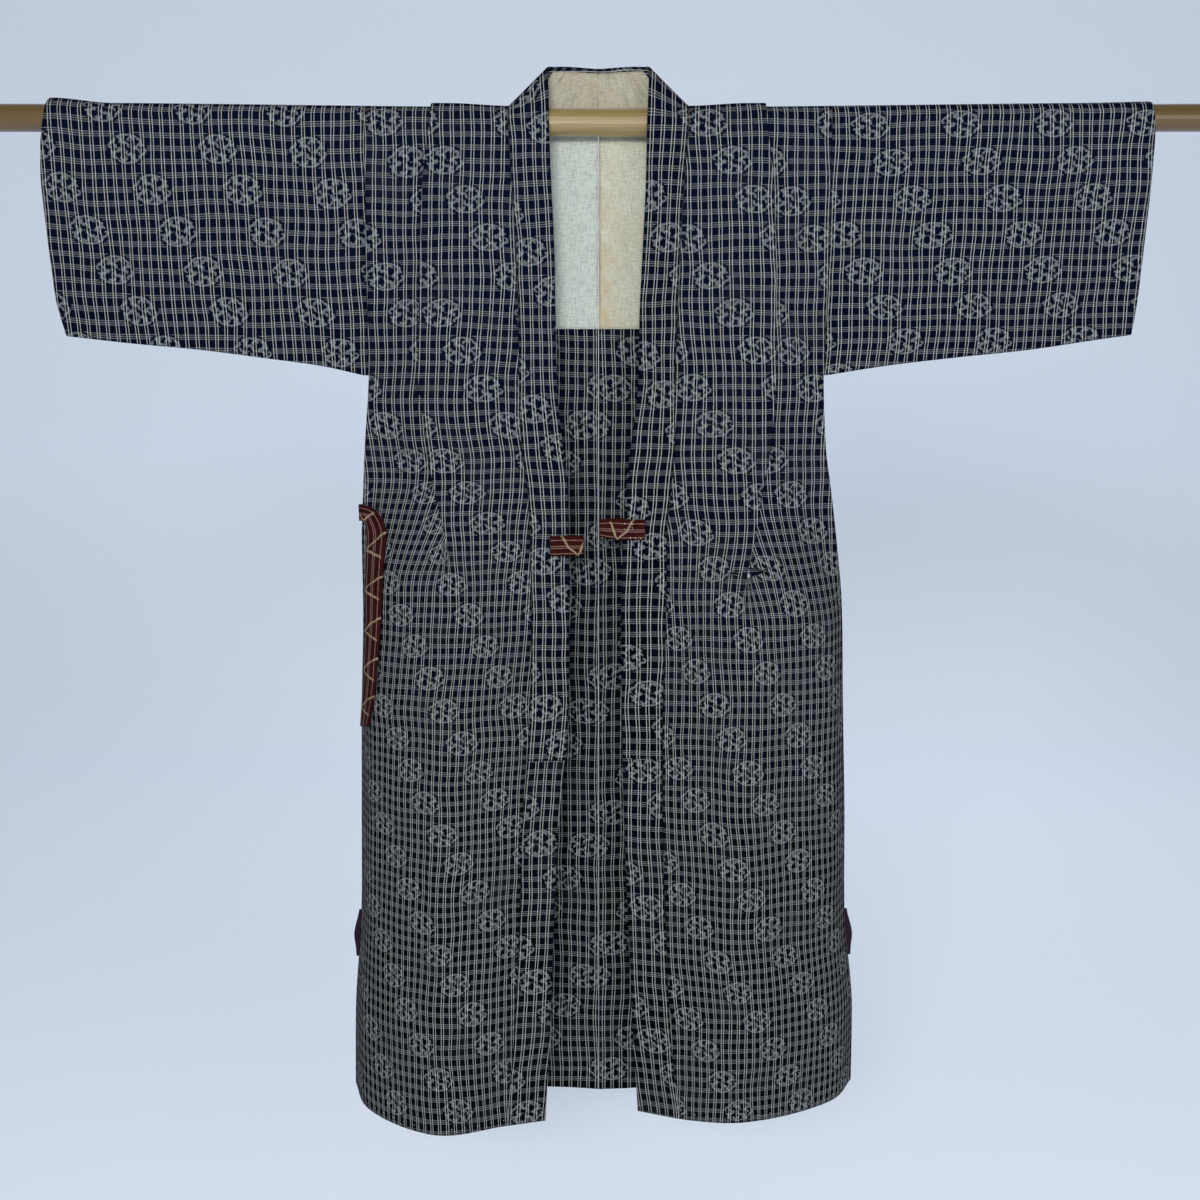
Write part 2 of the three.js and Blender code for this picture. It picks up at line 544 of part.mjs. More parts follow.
// Plain cotton inside the back of the shoulders, one half on each side of the middle.
function shoulderLining(half) {
  const widths = [SEAM_EDGE, SHOULDER_LINING_HALF / 3, (2 * SHOULDER_LINING_HALF) / 3, SHOULDER_LINING_HALF];
  const onRod = LINING_ANGLES.map((degrees) => widths.map(
    (x) => overRod(half.sign * x, LINING_ON_ROD, degrees)));
  const hanging = [0, -50, -105, -160, SHOULDER_LINING_FOOT_Z].map((z) => widths.map((x) => new THREE.Vector3(
    half.sign * x, LINING_ON_ROD + 0.5 * smooth(-z / 130), z)));
  return wall([...onRod, ...hanging], LINING_CLOTH);
}

// A point that stands clear of the front's outer face, at a height and a distance from the
// middle. The face is taken between the two rows of the body's grid that lie around it.
function onFrontFace(half, z, distance, clear) {
  const heights = bodyHeights(half);
  const upper = heights.findIndex((height) => height >= z);
  const t = (z - heights[upper - 1]) / (heights[upper] - heights[upper - 1]);
  const above = bodySection(half, heights[upper], false);
  const section = bodySection(half, heights[upper - 1], false).map((point, k) => (
    new THREE.Vector2(mix(point.across, above[k].across, t), mix(point.out, above[k].out, t))));
  const k = Math.max(1, section.findIndex((point) => point.x <= distance));
  const part = (section[k - 1].x - distance) / (section[k - 1].x - section[k].x);
  const slope = section[k - 1].clone().sub(section[k]).normalize();
  const at = section[k - 1].clone().lerp(section[k], part);
  at.addScaledVector(new THREE.Vector2(-slope.y, slope.x), CLOTH / 2 + clear);
  return new THREE.Vector3(half.sign * at.x, -at.y, z);
}

// A tie's row from its upper (or outer) edge to its lower (or inner) edge.
const tieRow = ({ x, y, z, toX, toY, toZ }) => spread(
  new THREE.Vector3(x, y, z), new THREE.Vector3(toX ?? x, toY ?? y, toZ), TIE_CELLS);

// The left tie: sewn on the face of the collar, turned behind the front edge, led across
// inside the front, out at the foot of the side opening and down the face of the front.
function leftTie() {
  const tail = LEFT_TIE_TAIL.map(({ z, outer, inner, innerZ }) => {
    const steps = Array.from({ length: TIE_CELLS + 1 }, (_, k) => k / TIE_CELLS);
    return steps.map((t) => (
      onFrontFace(LEFT, mix(z, innerZ ?? z, t), mix(outer, inner, t), TIE_CLOTH / 2 + TIE_LIFT)));
  });
  return wall([...LEFT_TIE.map(tieRow), ...tail], TIE_CLOTH);
}

const rightTie = () => wall(RIGHT_TIE.map(tieRow), TIE_CLOTH);

// A small flat tab of plum cloth that stands out from the side seam near the knee.
function sideTab(half) {
  const rows = SIDE_TAB.map(({ z, off }) => {
    const x = along(half.front, 'z', 'side', z) + SIDE_TAB_GAP;
    const y = along(SIDE_SEAM, 'z', half.seamSide, z);
    return spread(new THREE.Vector3(half.sign * x, y, z),
      new THREE.Vector3(half.sign * (x + off), y, z), TIE_CELLS);
  });
  return wall(rows, TIE_CLOTH);
}

// The rod, laid along X and bent by its own sag.
function rod() {
  const geometry = new THREE.CylinderGeometry(
    ROD_RADIUS, ROD_RADIUS, 2 * ROD_HALF_LENGTH, ROD_SIDES, ROD_CELLS);
  geometry.rotateZ(-Math.PI / 2);
  const position = geometry.getAttribute('position');
  for (let k = 0; k < position.count; k += 1) {
    position.setZ(k, position.getZ(k) + rodZ(position.getX(k)));
  }
  return geometry;
}

const group = new THREE.Group();

function add(name, geometry, material) {
  const mesh = new THREE.Mesh(geometry, material);
  mesh.name = name;
  group.add(mesh);
}

add('rod', rod(), new THREE.MeshStandardMaterial({ color: VARNISHED_WOOD, roughness: 0.45, metalness: 0 }));
add('body_left', bodyHalf(LEFT), fabric(CHECK_COTTON));
add('body_right', bodyHalf(RIGHT), fabric(CHECK_COTTON));
add('sleeve_left', sleeve(LEFT), fabric(CHECK_COTTON));
add('sleeve_right', sleeve(RIGHT), fabric(CHECK_COTTON));
add('collar', collar(), fabric(CHECK_COTTON));
add('overlap_left', overlap(LEFT), fabric(CHECK_COTTON));
add('overlap_right', overlap(RIGHT), fabric(CHECK_COTTON));
add('collar_lining', collarLining(), fabric(CREAM_COTTON));
add('shoulder_lining_left', shoulderLining(LEFT), fabric(WHITE_COTTON));
add('shoulder_lining_right', shoulderLining(RIGHT), fabric(CREAM_COTTON));
add('tie_left', leftTie(), fabric(MAROON_COTTON));
add('tie_right', rightTie(), fabric(MAROON_COTTON));
add('side_tab_left', sideTab(LEFT), fabric(PLUM_COTTON));
add('side_tab_right', sideTab(RIGHT), fabric(PLUM_COTTON));

export default group;
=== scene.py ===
import functools
import math

import bpy
import numpy as np
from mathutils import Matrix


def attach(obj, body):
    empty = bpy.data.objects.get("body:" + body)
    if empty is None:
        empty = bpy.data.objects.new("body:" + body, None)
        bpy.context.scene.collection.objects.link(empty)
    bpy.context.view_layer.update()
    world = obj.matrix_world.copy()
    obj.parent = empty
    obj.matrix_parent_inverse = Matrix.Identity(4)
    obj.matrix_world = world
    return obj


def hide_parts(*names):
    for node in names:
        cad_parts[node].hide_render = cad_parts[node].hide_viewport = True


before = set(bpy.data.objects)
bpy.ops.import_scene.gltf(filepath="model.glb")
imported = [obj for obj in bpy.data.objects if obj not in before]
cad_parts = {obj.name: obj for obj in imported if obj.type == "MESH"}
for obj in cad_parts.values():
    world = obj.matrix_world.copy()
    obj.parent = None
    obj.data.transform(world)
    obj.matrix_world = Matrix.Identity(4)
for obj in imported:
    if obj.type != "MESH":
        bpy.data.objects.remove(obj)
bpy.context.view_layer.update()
scene = bpy.context.scene


# helpers for the shapes: all is in millimetres until a mesh is made

def mix(a, b, t):
    return a + (b - a) * t


def smooth(t):
    t = np.clip(t, 0, 1)
    return t * t * (3 - 2 * t)


def table(columns, rows):
    values = np.array(rows, dtype=float)
    values = values[np.argsort(values[:, 0])]
    return dict(zip(columns, values.T))


# a column of a table at any place, on a curve that doesn't overshoot
def along(tab, column, at):
    xs, ys = list(tab.values())[0], tab[column]
    slopes = np.diff(ys) / np.diff(xs)
    rising = slopes[:-1] * slopes[1:] > 0
    total = np.where(rising, slopes[:-1] + slopes[1:], 1)
    inner = np.where(rising, 2 * slopes[:-1] * slopes[1:] / total, 0)
    tangents = np.concatenate([slopes[:1], inner, slopes[-1:]])
    at = np.clip(at, xs[0], xs[-1])
    i = np.clip(np.searchsorted(xs, at, side="right") - 1, 0, len(xs) - 2)
    width = xs[i + 1] - xs[i]
    t = (at - xs[i]) / width
    return ((1 + 2 * t) * (1 - t) ** 2 * ys[i] + t * (1 - t) ** 2 * width * tangents[i]
            + t * t * (3 - 2 * t) * ys[i + 1] + t * t * (t - 1) * width * tangents[i + 1])


# a smooth line through a few points, as a dense polyline
def throughPoints(points, steps=40):
    p = np.array(points, dtype=float)
    p = np.vstack([2 * p[0] - p[1], p, 2 * p[-1] - p[-2]])
    t = np.linspace(0, 1, steps + 1)[:, None]
    line = [p[1][None, :]]
    for a, b, c, d in zip(p, p[1:], p[2:], p[3:]):
        gaps = [max(np.linalg.norm(v - u), 1e-6) ** 0.5 for u, v in ((a, b), (b, c), (c, d))]
        start = ((b - a) / gaps[0] - (c - a) / (gaps[0] + gaps[1]) + (c - b) / gaps[1]) * gaps[1]
        end = ((c - b) / gaps[1] - (d - b) / (gaps[1] + gaps[2]) + (d - c) / gaps[2]) * gaps[1]
        cube = 2 * b - 2 * c + start + end
        square = -3 * b + 3 * c - 2 * start - end
        line.append((b + start * t + square * t ** 2 + cube * t ** 3)[1:])
    return np.vstack(line)


def runsOf(points):
    return np.concatenate([[0], np.cumsum(np.linalg.norm(np.diff(points, axis=0), axis=1))])


def atRuns(points, runs):
    own = runsOf(points)
    return np.column_stack([np.interp(runs, own, points[:, k]) for k in range(points.shape[1])])


# soft creases, each a line with a ridge (height above 0) or a trough (below 0) across it;
# bow bends the line sideways
def creased(creases, x, z):
    total = np.zeros(np.broadcast(x, z).shape)
    for x0, z0, x1, z1, width, height, bow in creases:
        length = math.hypot(x1 - x0, z1 - z0)
        dx, dz = (x1 - x0) / length, (z1 - z0) / length
        t = ((x - x0) * dx + (z - z0) * dz) / length
        away = (x - x0) * dz - (z - z0) * dx - bow * 4 * t * (1 - t)
        fade = smooth(t / 0.3) * smooth((1 - t) / 0.3)
        total = total + height * np.exp(-((away / width) ** 2)) * fade
    return total


# slow unevenness that every hanging cloth has
def uneven(x, z, size):
    waves = ((0.021, 0.006, 1.1), (0.034, -0.011, 4.0), (0.012, 0.017, 2.3), (0.055, 0.009, 0.4),
             (0.047, -0.026, 5.2))
    return size * sum(np.sin(a * x + b * z + c) for a, b, c in waves) / 2.2


# faces over the rod point away from it
def offTheRod(middle):
    away = middle * [0, 1, 1]
    away[:, 2] = np.maximum(away[:, 2], 0)
    return away


# a sheet from rows of points and its cloth map: outward is the way that its face looks,
# and has(i, j) says which cells are there
def sheetMesh(name, grid, uv, outward, has=None):
    grid, uv = np.asarray(grid, dtype=float), np.asarray(uv, dtype=float)
    count, width = grid.shape[:2]
    i, j = np.meshgrid(np.arange(count - 1), np.arange(width - 1), indexing="ij")
    i, j = i.ravel(), j.ravel()
    if has is not None:
        keep = has(i, j)
        i, j = i[keep], j[keep]
    corner = i * width + j
    faces = np.column_stack([corner, corner + 1, corner + width + 1, corner + width])
    points = grid.reshape(-1, 3) * 0.001
    a, b, c, d = (points[faces[:, k]] for k in range(4))
    normals = np.cross(c - a, d - b)
    middle = (a + b + c + d) / 4
    if np.sum(normals * (outward(middle) if callable(outward) else outward)) < 0:
        faces = faces[:, ::-1]
    used, faces = np.unique(faces, return_inverse=True)
    faces = faces.reshape(-1, 4)
    mesh = bpy.data.meshes.new(name)
    mesh.from_pydata(points[used].tolist(), [], faces.tolist())
    layer = mesh.uv_layers.new(name="cloth")
    flat = (uv.reshape(-1, 2) * 0.001)[used][faces.ravel()]
    layer.data.foreach_set("uv", flat.ravel())
    mesh.shade_smooth()
    return mesh


def addObject(name, data):
    new = bpy.data.objects.new(name, data)
    scene.collection.objects.link(new)
    return new


# a thin shell on the solid of the node that it stands for
def clothPiece(name, mesh, cloth, material, stands):
    piece = addObject(name, mesh)
    mesh.materials.append(material)
    shell = piece.modifiers.new("thickness", "SOLIDIFY")
    shell.thickness = cloth["thickness"] * 0.001
    shell.offset = 0
    shell.use_even_offset = cloth.get("evenly", True)
    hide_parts(stands)
    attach(piece, "root")


# node trees

def feed(tree, slot, value):
    value = value.socket if isinstance(value, Num) else value
    if isinstance(value, bpy.types.NodeSocket):
        tree.links.new(value, slot)
    else:
        slot.default_value = value


# a new node with its settings, and values or links for its named inputs
def addNode(tree, kind, settings=None, **values):
    node = tree.nodes.new(kind)
    for key, value in (settings or {}).items():
        setattr(node, key, value)
    for key, value in values.items():
        feed(tree, node.inputs[key.replace("_", " ")], value)
    return node


# a number in a node tree, for use in ordinary expressions
class Num:
    def __init__(self, tree, socket):
        self.tree, self.socket = tree, socket

    def calc(self, operation, *values):
        node = addNode(self.tree, "ShaderNodeMath", {"operation": operation})
        for slot, value in zip(node.inputs, values):
            feed(self.tree, slot, value)
        return Num(self.tree, node.outputs[0])

    __add__ = lambda a, b: a.calc("ADD", a, b)
    __radd__ = lambda a, b: a.calc("ADD", b, a)
    __sub__ = lambda a, b: a.calc("SUBTRACT", a, b)
    __rsub__ = lambda a, b: a.calc("SUBTRACT", b, a)
    __mul__ = lambda a, b: a.calc("MULTIPLY", a, b)
    __truediv__ = lambda a, b: a.calc("DIVIDE", a, b)
    __pow__ = lambda a, b: a.calc("POWER", a, b)
    __abs__ = lambda a: a.calc("ABSOLUTE", a)
    floor = lambda a: a.calc("FLOOR", a)
    wrap = lambda a, period: a.calc("FLOORED_MODULO", a, period)
    most = lambda a, b: a.calc("MAXIMUM", a, b)
    least = lambda a, b: a.calc("MINIMUM", a, b)
    above = lambda a, edge: a.calc("GREATER_THAN", a, edge)

    # kept between 0 and 1
    def held(self):
        return self.most(0.0).least(1.0)

    # 1 well below the edge and 0 well above it
    def below(self, edge, soft):
        return ((edge - self) / soft + 0.5).held()


# a Principled material, and short ways to add nodes to it
class Paint:
    def __init__(self, name, **shader):
        self.material = bpy.data.materials.new(name)
        self.material.use_nodes = True
        self.tree = self.material.node_tree
        self.tree.nodes.clear()
        self.shader = self.node("ShaderNodeBsdfPrincipled", **shader)
        self.node("ShaderNodeOutputMaterial", Surface=self.shader.outputs["BSDF"])

    def node(self, kind, settings=None, **values):
        return addNode(self.tree, kind, settings, **values)

    def number(self, socket):
        return Num(self.tree, socket)

    def blend(self, factor, a, b):
        new = self.node("ShaderNodeMix", {"data_type": "RGBA"})
        for slot, value in ((0, factor), (6, a), (7, b)):
            feed(self.tree, new.inputs[slot], value)
        return new.outputs[2]

    # the piece's own cloth map, in millimetres across and along the warp
    def clothMap(self):
        place = self.node("ShaderNodeUVMap", {"uv_map": "cloth"})
        parts = self.node("ShaderNodeSeparateXYZ", Vector=place.outputs["UV"])
        x, y, _ = map(self.number, parts.outputs)
        return x * 1000, y * 1000

    def flatNoise(self, kind, output, x, y, **values):
        place = self.node("ShaderNodeCombineXYZ", X=x, Y=y)
        noise = self.node(kind, {"noise_dimensions": "2D"}, Vector=place.outputs[0], **values)
        return self.number(noise.outputs[output])

    def random(self, x, y):
        return self.flatNoise("ShaderNodeTexWhiteNoise", "Value", x, y)

    def noise(self, x, y, scale, detail=2.0, rough=0.5):
        return self.flatNoise("ShaderNodeTexNoise", "Fac", x, y, Scale=scale, Detail=detail,
                              Roughness=rough)

    def finish(self, color, bump=None, strength=0.2, distance=0.001, roughness=None):
        feed(self.tree, self.shader.inputs["Base Color"], color)
        if roughness is not None:
            feed(self.tree, self.shader.inputs["Roughness"], roughness)
        if bump is not None:
            relief = self.node("ShaderNodeBump", Height=bump, Strength=strength, Distance=distance)
            self.tree.links.new(relief.outputs["Normal"], self.shader.inputs["Normal"])
        return self.material


# the checked cotton with its woven roundels

checkCloth = {
    "ground": (0.0016, 0.0036, 0.0140, 1),
    "deepGround": (0.0008, 0.0010, 0.0016, 1),
    "line": (0.66, 0.68, 0.64, 1),
    "band": (0.42, 0.45, 0.45, 1),
    "woven": (0.17, 0.19, 0.195, 1),
    "wearAndCreaseShade": (0.034, 0.037, 0.045, 1),
    "columnWidth": 10.8,
    "pairLines": (1.6, 4.7),
    "lineWidth": 0.54,
    "rowHeight": 13.8,
    "bandShift": 2.2,
    "bandLines": (0.6, 2.8, 5.0),
    "bandLineWidth": 0.38,
    "bandWidth": 5.4,
    "roundelEvery": 97.2,
    "roundelShift": 24.3,
    "roundelField": (22.0, 18.0),
    "threadSlip": 1.5,
    "pulled": 7.0,
}

# the upper half of a roundel in strokes, the lower half is the same turned half round:
# centre, radius and width of each arc, the direction of its middle and half its sweep
roundelStrokes = [
    (-16.8, 9.0, 3.0, 2.2, 315, 70),
    (-17.0, 2.6, 2.6, 2.0, 180, 95),
    (-10.6, 8.6, 3.2, 2.3, 30, 85),
    (-9.8, 2.6, 3.0, 2.2, 240, 85),
    (-3.6, 8.8, 2.6, 2.2, 200, 90),
    (-2.2, 3.0, 3.2, 2.3, 60, 90),
    (4.0, 8.8, 2.9, 2.3, 100, 95),
    (5.2, 2.0, 2.8, 2.2, 300, 85),
    (11.2, 7.0, 3.2, 2.3, 20, 85),
    (12.6, 0.8, 2.8, 2.2, 120, 80),
    (17.6, 6.4, 2.8, 2.0, 200, 80),
]
roundelRing = {"across": 18.6, "up": 14.4, "width": 1.7, "sweep": 33}


def checkCotton(name, look=checkCloth, faded=0.0):
    paint = Paint(name, Roughness=0.9, Specular_IOR_Level=0.0)
    across, up = paint.clothMap()
    # wear has pulled the cloth out of true, so no line runs quite straight
    pull = look["pulled"]
    across, up = (across + (paint.noise(across, up, 0.011, 1.0) - 0.5) * pull,
                  up + (paint.noise(up + 400.0, across, 0.011, 1.0) - 0.5) * pull)
    # the dyed threads slip a little, so the edges are stepped and soft
    weft, warp = (up / 0.75).floor(), (across / 0.8).floor()
    slip = (paint.random(weft, 3.0) - 0.5) * look["threadSlip"]
    slipUp = (paint.random(warp, 7.0) - 0.5) * look["threadSlip"]

    every, step = look["roundelEvery"], 3 * look["rowHeight"]
    row = (up / step + 0.5).floor()
    px = (across + slip + row * look["roundelShift"]).wrap(every) - every / 2
    py = (up + slipUp * 0.8) - row * step
    turned = py.above(0.0) * 2 - 1
    x, y = px * turned, py * turned
    wide, high = look["roundelField"]
    inside = ((px / wide) ** 2.0 + (py / high) ** 2.0).below(1.0, 0.12)

    ring = roundelRing
    reach = ((x / ring["across"]) ** 2.0 + (y / ring["up"]) ** 2.0) ** 0.5
    fromRing = abs(reach - 1.0) * ring["up"]
    top = (y / ring["up"] / reach.most(0.05)).above(math.cos(math.radians(ring["sweep"])))
    woven = fromRing.below(ring["width"] / 2, 0.9) * top
    for centreX, centreY, radius, width, towards, sweep in roundelStrokes:
        dx, dy = x - centreX, y - centreY
        far = (dx * dx + dy * dy) ** 0.5
        arc = abs(far - radius).below(width / 2, 0.8)
        angle = math.radians(towards)
        facing = (dx * math.cos(angle) + dy * math.sin(angle)) / far.most(0.05)
        woven = woven.most(arc * facing.above(math.cos(math.radians(sweep))))
    woven = woven * inside

    def lines(at, places, width, soft):
        drawn = [abs(at - place).below(width / 2, soft) for place in places]
        return functools.reduce(Num.most, drawn)

    # pairs of fine warp lines, and bands of three weft lines left out within a roundel
    column = (across + slip * 0.12).wrap(look["columnWidth"])
    pair = lines(column, look["pairLines"], look["lineWidth"], 0.45)
    line = (up + slipUp * 0.12 + look["bandShift"]).wrap(look["rowHeight"])
    bands = lines(line, look["bandLines"], look["bandLineWidth"], 0.4)
    grey = lines(line, look["bandLines"][1:2], look["bandWidth"], 0.8)
    outside = 1 - inside

    fleck = paint.noise(across * 0.35, up * 2.2, 1.3, 1.0)
    fleckUp = paint.noise(across * 2.2, up * 0.35, 1.3, 1.0)
    patch = paint.noise(across, up, 0.012, 1.0)
    low = (abs(up) / 1100).least(1.0)
    ground = paint.blend((low * 1.1).least(1.0), look["ground"], look["deepGround"])
    ground = paint.blend((patch * 0.35).least(1.0), ground, (0.006, 0.008, 0.016, 1))
    color = paint.blend((grey * outside) * (fleck * 0.04), ground, look["band"])
    color = paint.blend((bands * outside) * (fleck * 0.95), color, look["band"])
    color = paint.blend(woven * (fleck * 1.5 - 0.05).held(), color, look["woven"])
    color = paint.blend(pair * (0.22 + fleckUp * 0.78), color, look["line"])
    if faded:
        wearAndCreaseShade = (paint.noise(across, up, 0.018, 2.0, 0.6) - 0.5).most(0.0) * (4.0 * faded)
        color = paint.blend(wearAndCreaseShade.least(0.5), color, look["wearAndCreaseShade"])
    threads = (paint.noise(across * 0.5, up * 3.0, 1.0, 1.0)
               + paint.noise(across * 3.0, up * 0.5, 1.0, 1.0))
    rumple = paint.noise(across, up, 0.045, 2.0) * 7
    return paint.finish(color, threads * 0.25 + rumple, strength=0.35, distance=0.0006)


# plain cloths, ties and wood

plainCloths = {
    "white": {"color": (0.50, 0.55, 0.51, 1), "stain": (0.47, 0.49, 0.42, 1), "stained": 0.5},
    "cream": {"color": (0.54, 0.57, 0.48, 1), "stain": (0.47, 0.41, 0.27, 1), "stained": 0.6},
    "neck": {"color": (0.44, 0.42, 0.33, 1), "stain": (0.34, 0.29, 0.19, 1), "stained": 0.6},
    "plum": {"color": (0.022, 0.010, 0.020, 1), "stain": (0.012, 0.010, 0.022, 1), "stained": 0.5},
}


def plainCotton(name, look, weave=0.5, seamStain=0.0, wearAndCreaseShade=0.0):
    paint = Paint(name, Roughness=0.9, Specular_IOR_Level=0.1)
    across, up = paint.clothMap()
    stain = (paint.noise(across, up, 0.022, 4.0, 0.6) * 1.6 - 0.4).held()
    # thick and thin threads both ways, and the small dark gaps between them
    slub = (paint.noise(across * 0.09, up * 0.85, 1.0, 3.0)
            + paint.noise(across * 0.85, up * 0.09, 1.0, 3.0))
    gaps = paint.noise(across, up, 0.75, 2.0)
    color = paint.blend(stain * look["stained"], look["color"], look["stain"])
    dark = tuple(0.45 * c for c in look["color"][:3]) + (1,)
    color = paint.blend(((slub - 0.93) * 3.5).held() * weave, color, dark)
    color = paint.blend((gaps - 0.52).most(0.0) * (3.2 * weave), color, dark)
    if seamStain:
        # tan along the folded seam, strongest towards the foot
        near = (across * -1.0 / 34 + 1.0).most(0.0) * (0.30 - up / 260)
        cloud = paint.noise(across, up, 0.06, 4.0, 0.6)
        tan = (near * seamStain * (cloud * 2.2 - 0.5)).most(0.0).least(0.7)
        color = paint.blend(tan, color, (0.43, 0.33, 0.19, 1))
        fold = abs(across - 1.6).below(0.5, 0.8)
        color = paint.blend(fold * 0.5, color, (0.22, 0.17, 0.10, 1))
    if wearAndCreaseShade:
        # painted shade in the upright creases, and a dark line for the seam at the middle of the
        # neck
        paintedCreaseShade = (paint.noise(across * 1.6, up * 0.45, 0.10, 2.0) - 0.54).most(0.0) * (6.0 * wearAndCreaseShade)
        color = paint.blend(paintedCreaseShade.least(0.6), color, dark)
        color = paint.blend(abs(across + 0.5).below(0.5, 0.9) * 0.5, color, dark)
    crease = paint.noise(across, up * 0.35, 0.05, 3.0) * 9
    return paint.finish(color, slub * 0.6 + crease, strength=0.55, distance=0.0008)


tieCloth = {
    "ground": (0.034, 0.0038, 0.0028, 1),
    "deepGround": (0.016, 0.003, 0.004, 1),
    "stripe": (0.26, 0.17, 0.14, 1),
    "streak": (0.30, 0.235, 0.145, 1),
    "stripes": (4.6, 11.2, 13.4, 19.6),
    "streakEvery": 46.0,
}


def tieCotton(name, look=tieCloth):
    paint = Paint(name, Roughness=0.85, Specular_IOR_Level=0.05)
    across, up = paint.clothMap()
    wobble = (paint.noise(across, up, 0.10, 2.0) - 0.5) * 4.0
    broken = paint.noise(across * 1.5, up * 0.25, 1.0, 1.0)
    color = paint.blend(paint.noise(across, up, 0.05, 3.0), look["ground"], look["deepGround"])
    for place in look["stripes"]:
        stripe = abs(across - place + wobble * 0.12).below(0.45, 0.5)
        color = paint.blend(stripe * (0.20 + broken * 0.8), color, look["stripe"])
    # a long streak runs slantwise to the far edge and a short one springs back from it
    step = (up + wobble).wrap(look["streakEvery"])
    off = across - 11.0
    slant = abs(step - 10.0 - across * 0.85 - off * off * 0.018).below(1.2, 0.9)
    back = abs(step - 31.0 - (22.0 - across) * 0.36).below(1.2, 0.9) * across.above(3.0)
    streak = slant.most(back) * (paint.noise(across, up, 0.35, 2.0) * 1.9 - 0.2).held()
    color = paint.blend(streak * 0.9, color, look["streak"])
    threads = paint.noise(across * 3.0, up * 0.5, 1.0, 1.0)
    return paint.finish(color, threads, strength=0.3, distance=0.0004)


woodLook = {
    "pale": (0.29, 0.205, 0.075, 1),
    "golden": (0.185, 0.12, 0.028, 1),
    "dark": (0.08, 0.05, 0.018, 1),
    "shadedAmber": (0.092, 0.046, 0.0003, 1),
}


def varnishedWood(name, look=woodLook):
    paint = Paint(name, Coat_Weight=0.9, Coat_Roughness=0.2, Specular_IOR_Level=0.5)
    place = paint.node("ShaderNodeTexCoord")
    parts = paint.node("ShaderNodeSeparateXYZ", Vector=place.outputs["Object"])
    x, y, z = map(paint.number, parts.outputs)

    # noise drawn out along the rod
    def drawnOut(long, around, **values):
        at = paint.node("ShaderNodeCombineXYZ", X=x * long, Y=y * around, Z=z * around)
        noise = paint.node("ShaderNodeTexNoise", Vector=at.outputs[0], **values)
        return paint.number(noise.outputs["Fac"])

    grain = drawnOut(3.0, 60.0, Scale=1.4, Detail=6.0, Roughness=0.62)
    fibre = drawnOut(12.0, 420.0, Scale=1.0, Detail=3.0)
    color = paint.blend((grain * 2.4 - 0.7).held(), look["pale"], look["golden"])
    color = paint.blend((fibre - 0.56).most(0.0) * 2.2, color, look["dark"])
    # painted shade: the rod's ends turn darker and more amber than its lit middle
    ends = ((abs(x) - 0.12) / 0.45).held()
    color = paint.blend(ends, color, look["shadedAmber"])
    return paint.finish(color, fibre, strength=0.3, distance=0.0003, roughness=0.34 + grain * 0.14)


bodyCheck = checkCotton("check cotton body", faded=0.15)
sleeveCheck = checkCotton("check cotton sleeves")
collarCheck = checkCotton("check cotton collar")
whiteCotton = plainCotton("white cotton", plainCloths["white"])
creamCotton = plainCotton("cream cotton", plainCloths["cream"], seamStain=0.9)
# the neck lining gets painted shade in its upright creases
neckCotton = plainCotton("cream cotton of the neck", plainCloths["neck"], wearAndCreaseShade=0.3)
plumCotton = plainCotton("plum cotton", plainCloths["plum"], weave=0.2)
maroonCotton = tieCotton("maroon cotton")
rodWood = varnishedWood("varnished wood")
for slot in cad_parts["rod"].material_slots:
    slot.material = rodWood
print("materials made")


# the garment's lines, as its maker would measure them

frontColumns = ("z", "edge", "seam", "fold", "side", "edgeY", "seamY", "foldY")
leftFront = table(frontColumns, [
    (0, 52, 95, 175, 246, -16.6, -16.2, -18.5),
    (-60, 50, 92, 184, 247, -17.5, -17, -18.7),
    (-130, 47, 88, 188, 249, -19, -18, -19),
    (-200, 46, 86, 191, 250, -20, -19, -20),
    (-265, 45, 86, 193, 252, -22, -21, -22),
    (-340, 39, 84, 184, 258, -25, -25, -29),
    (-390, 33, 77, 178, 262, -28, -29, -38),
    (-440, 32, 75, 176, 266, -30, -32, -46),
    (-520, 32, 74, 176, 268, -33, -36, -56),
    (-640, 34, 77, 176, 275, -37, -41, -66),
    (-770, 46, 86, 178, 281, -41, -46, -73),
    (-900, 52, 91, 181, 287, -44, -50, -76),
    (-1030, 57, 99, 184, 299, -46, -53, -76),
    (-1131, 63, 107, 188, 303, -46, -56, -75),
])
rightFront = table(frontColumns, [
    (0, 51, 95, 175, 245, -16.6, -16.2, -18.5),
    (-60, 50, 91, 183, 246, -17.5, -17, -18.7),
    (-130, 47, 87, 187, 247, -19, -18, -19),
    (-200, 44, 85, 189, 247, -20, -19, -20),
    (-265, 43, 83, 190, 247, -22, -21, -22),
    (-340, 35, 83, 186, 251, -24, -24, -26),
    (-390, 30, 79, 177, 259, -26, -27, -32),
    (-440, 27, 75, 173, 267, -27, -28, -39),
    (-520, 25, 75, 173, 277, -29, -31, -46),
    (-640, 26, 72, 172, 284, -31, -34, -53),
    (-770, 29, 73, 171, 292, -30, -36, -55),
    (-900, 35, 78, 170, 298, -28, -38, -55),
    (-1030, 41, 85, 169, 313, -27, -40, -53),
    (-1131, 47, 95, 168, 316, -26, -42, -51),
])
backLines = table(("z", "middleY", "neckY", "foldY"), [
    (0, 16.2, 16.2, 18.5),
    (-130, 17, 17.2, 19),
    (-265, 17.5, 19, 23),
    (-340, 18, 22, 29),
    (-440, 18, 26, 38),
    (-640, 19, 29, 42),
    (-900, 20, 30, 41),
    (-1131, 20, 29, 39),
])
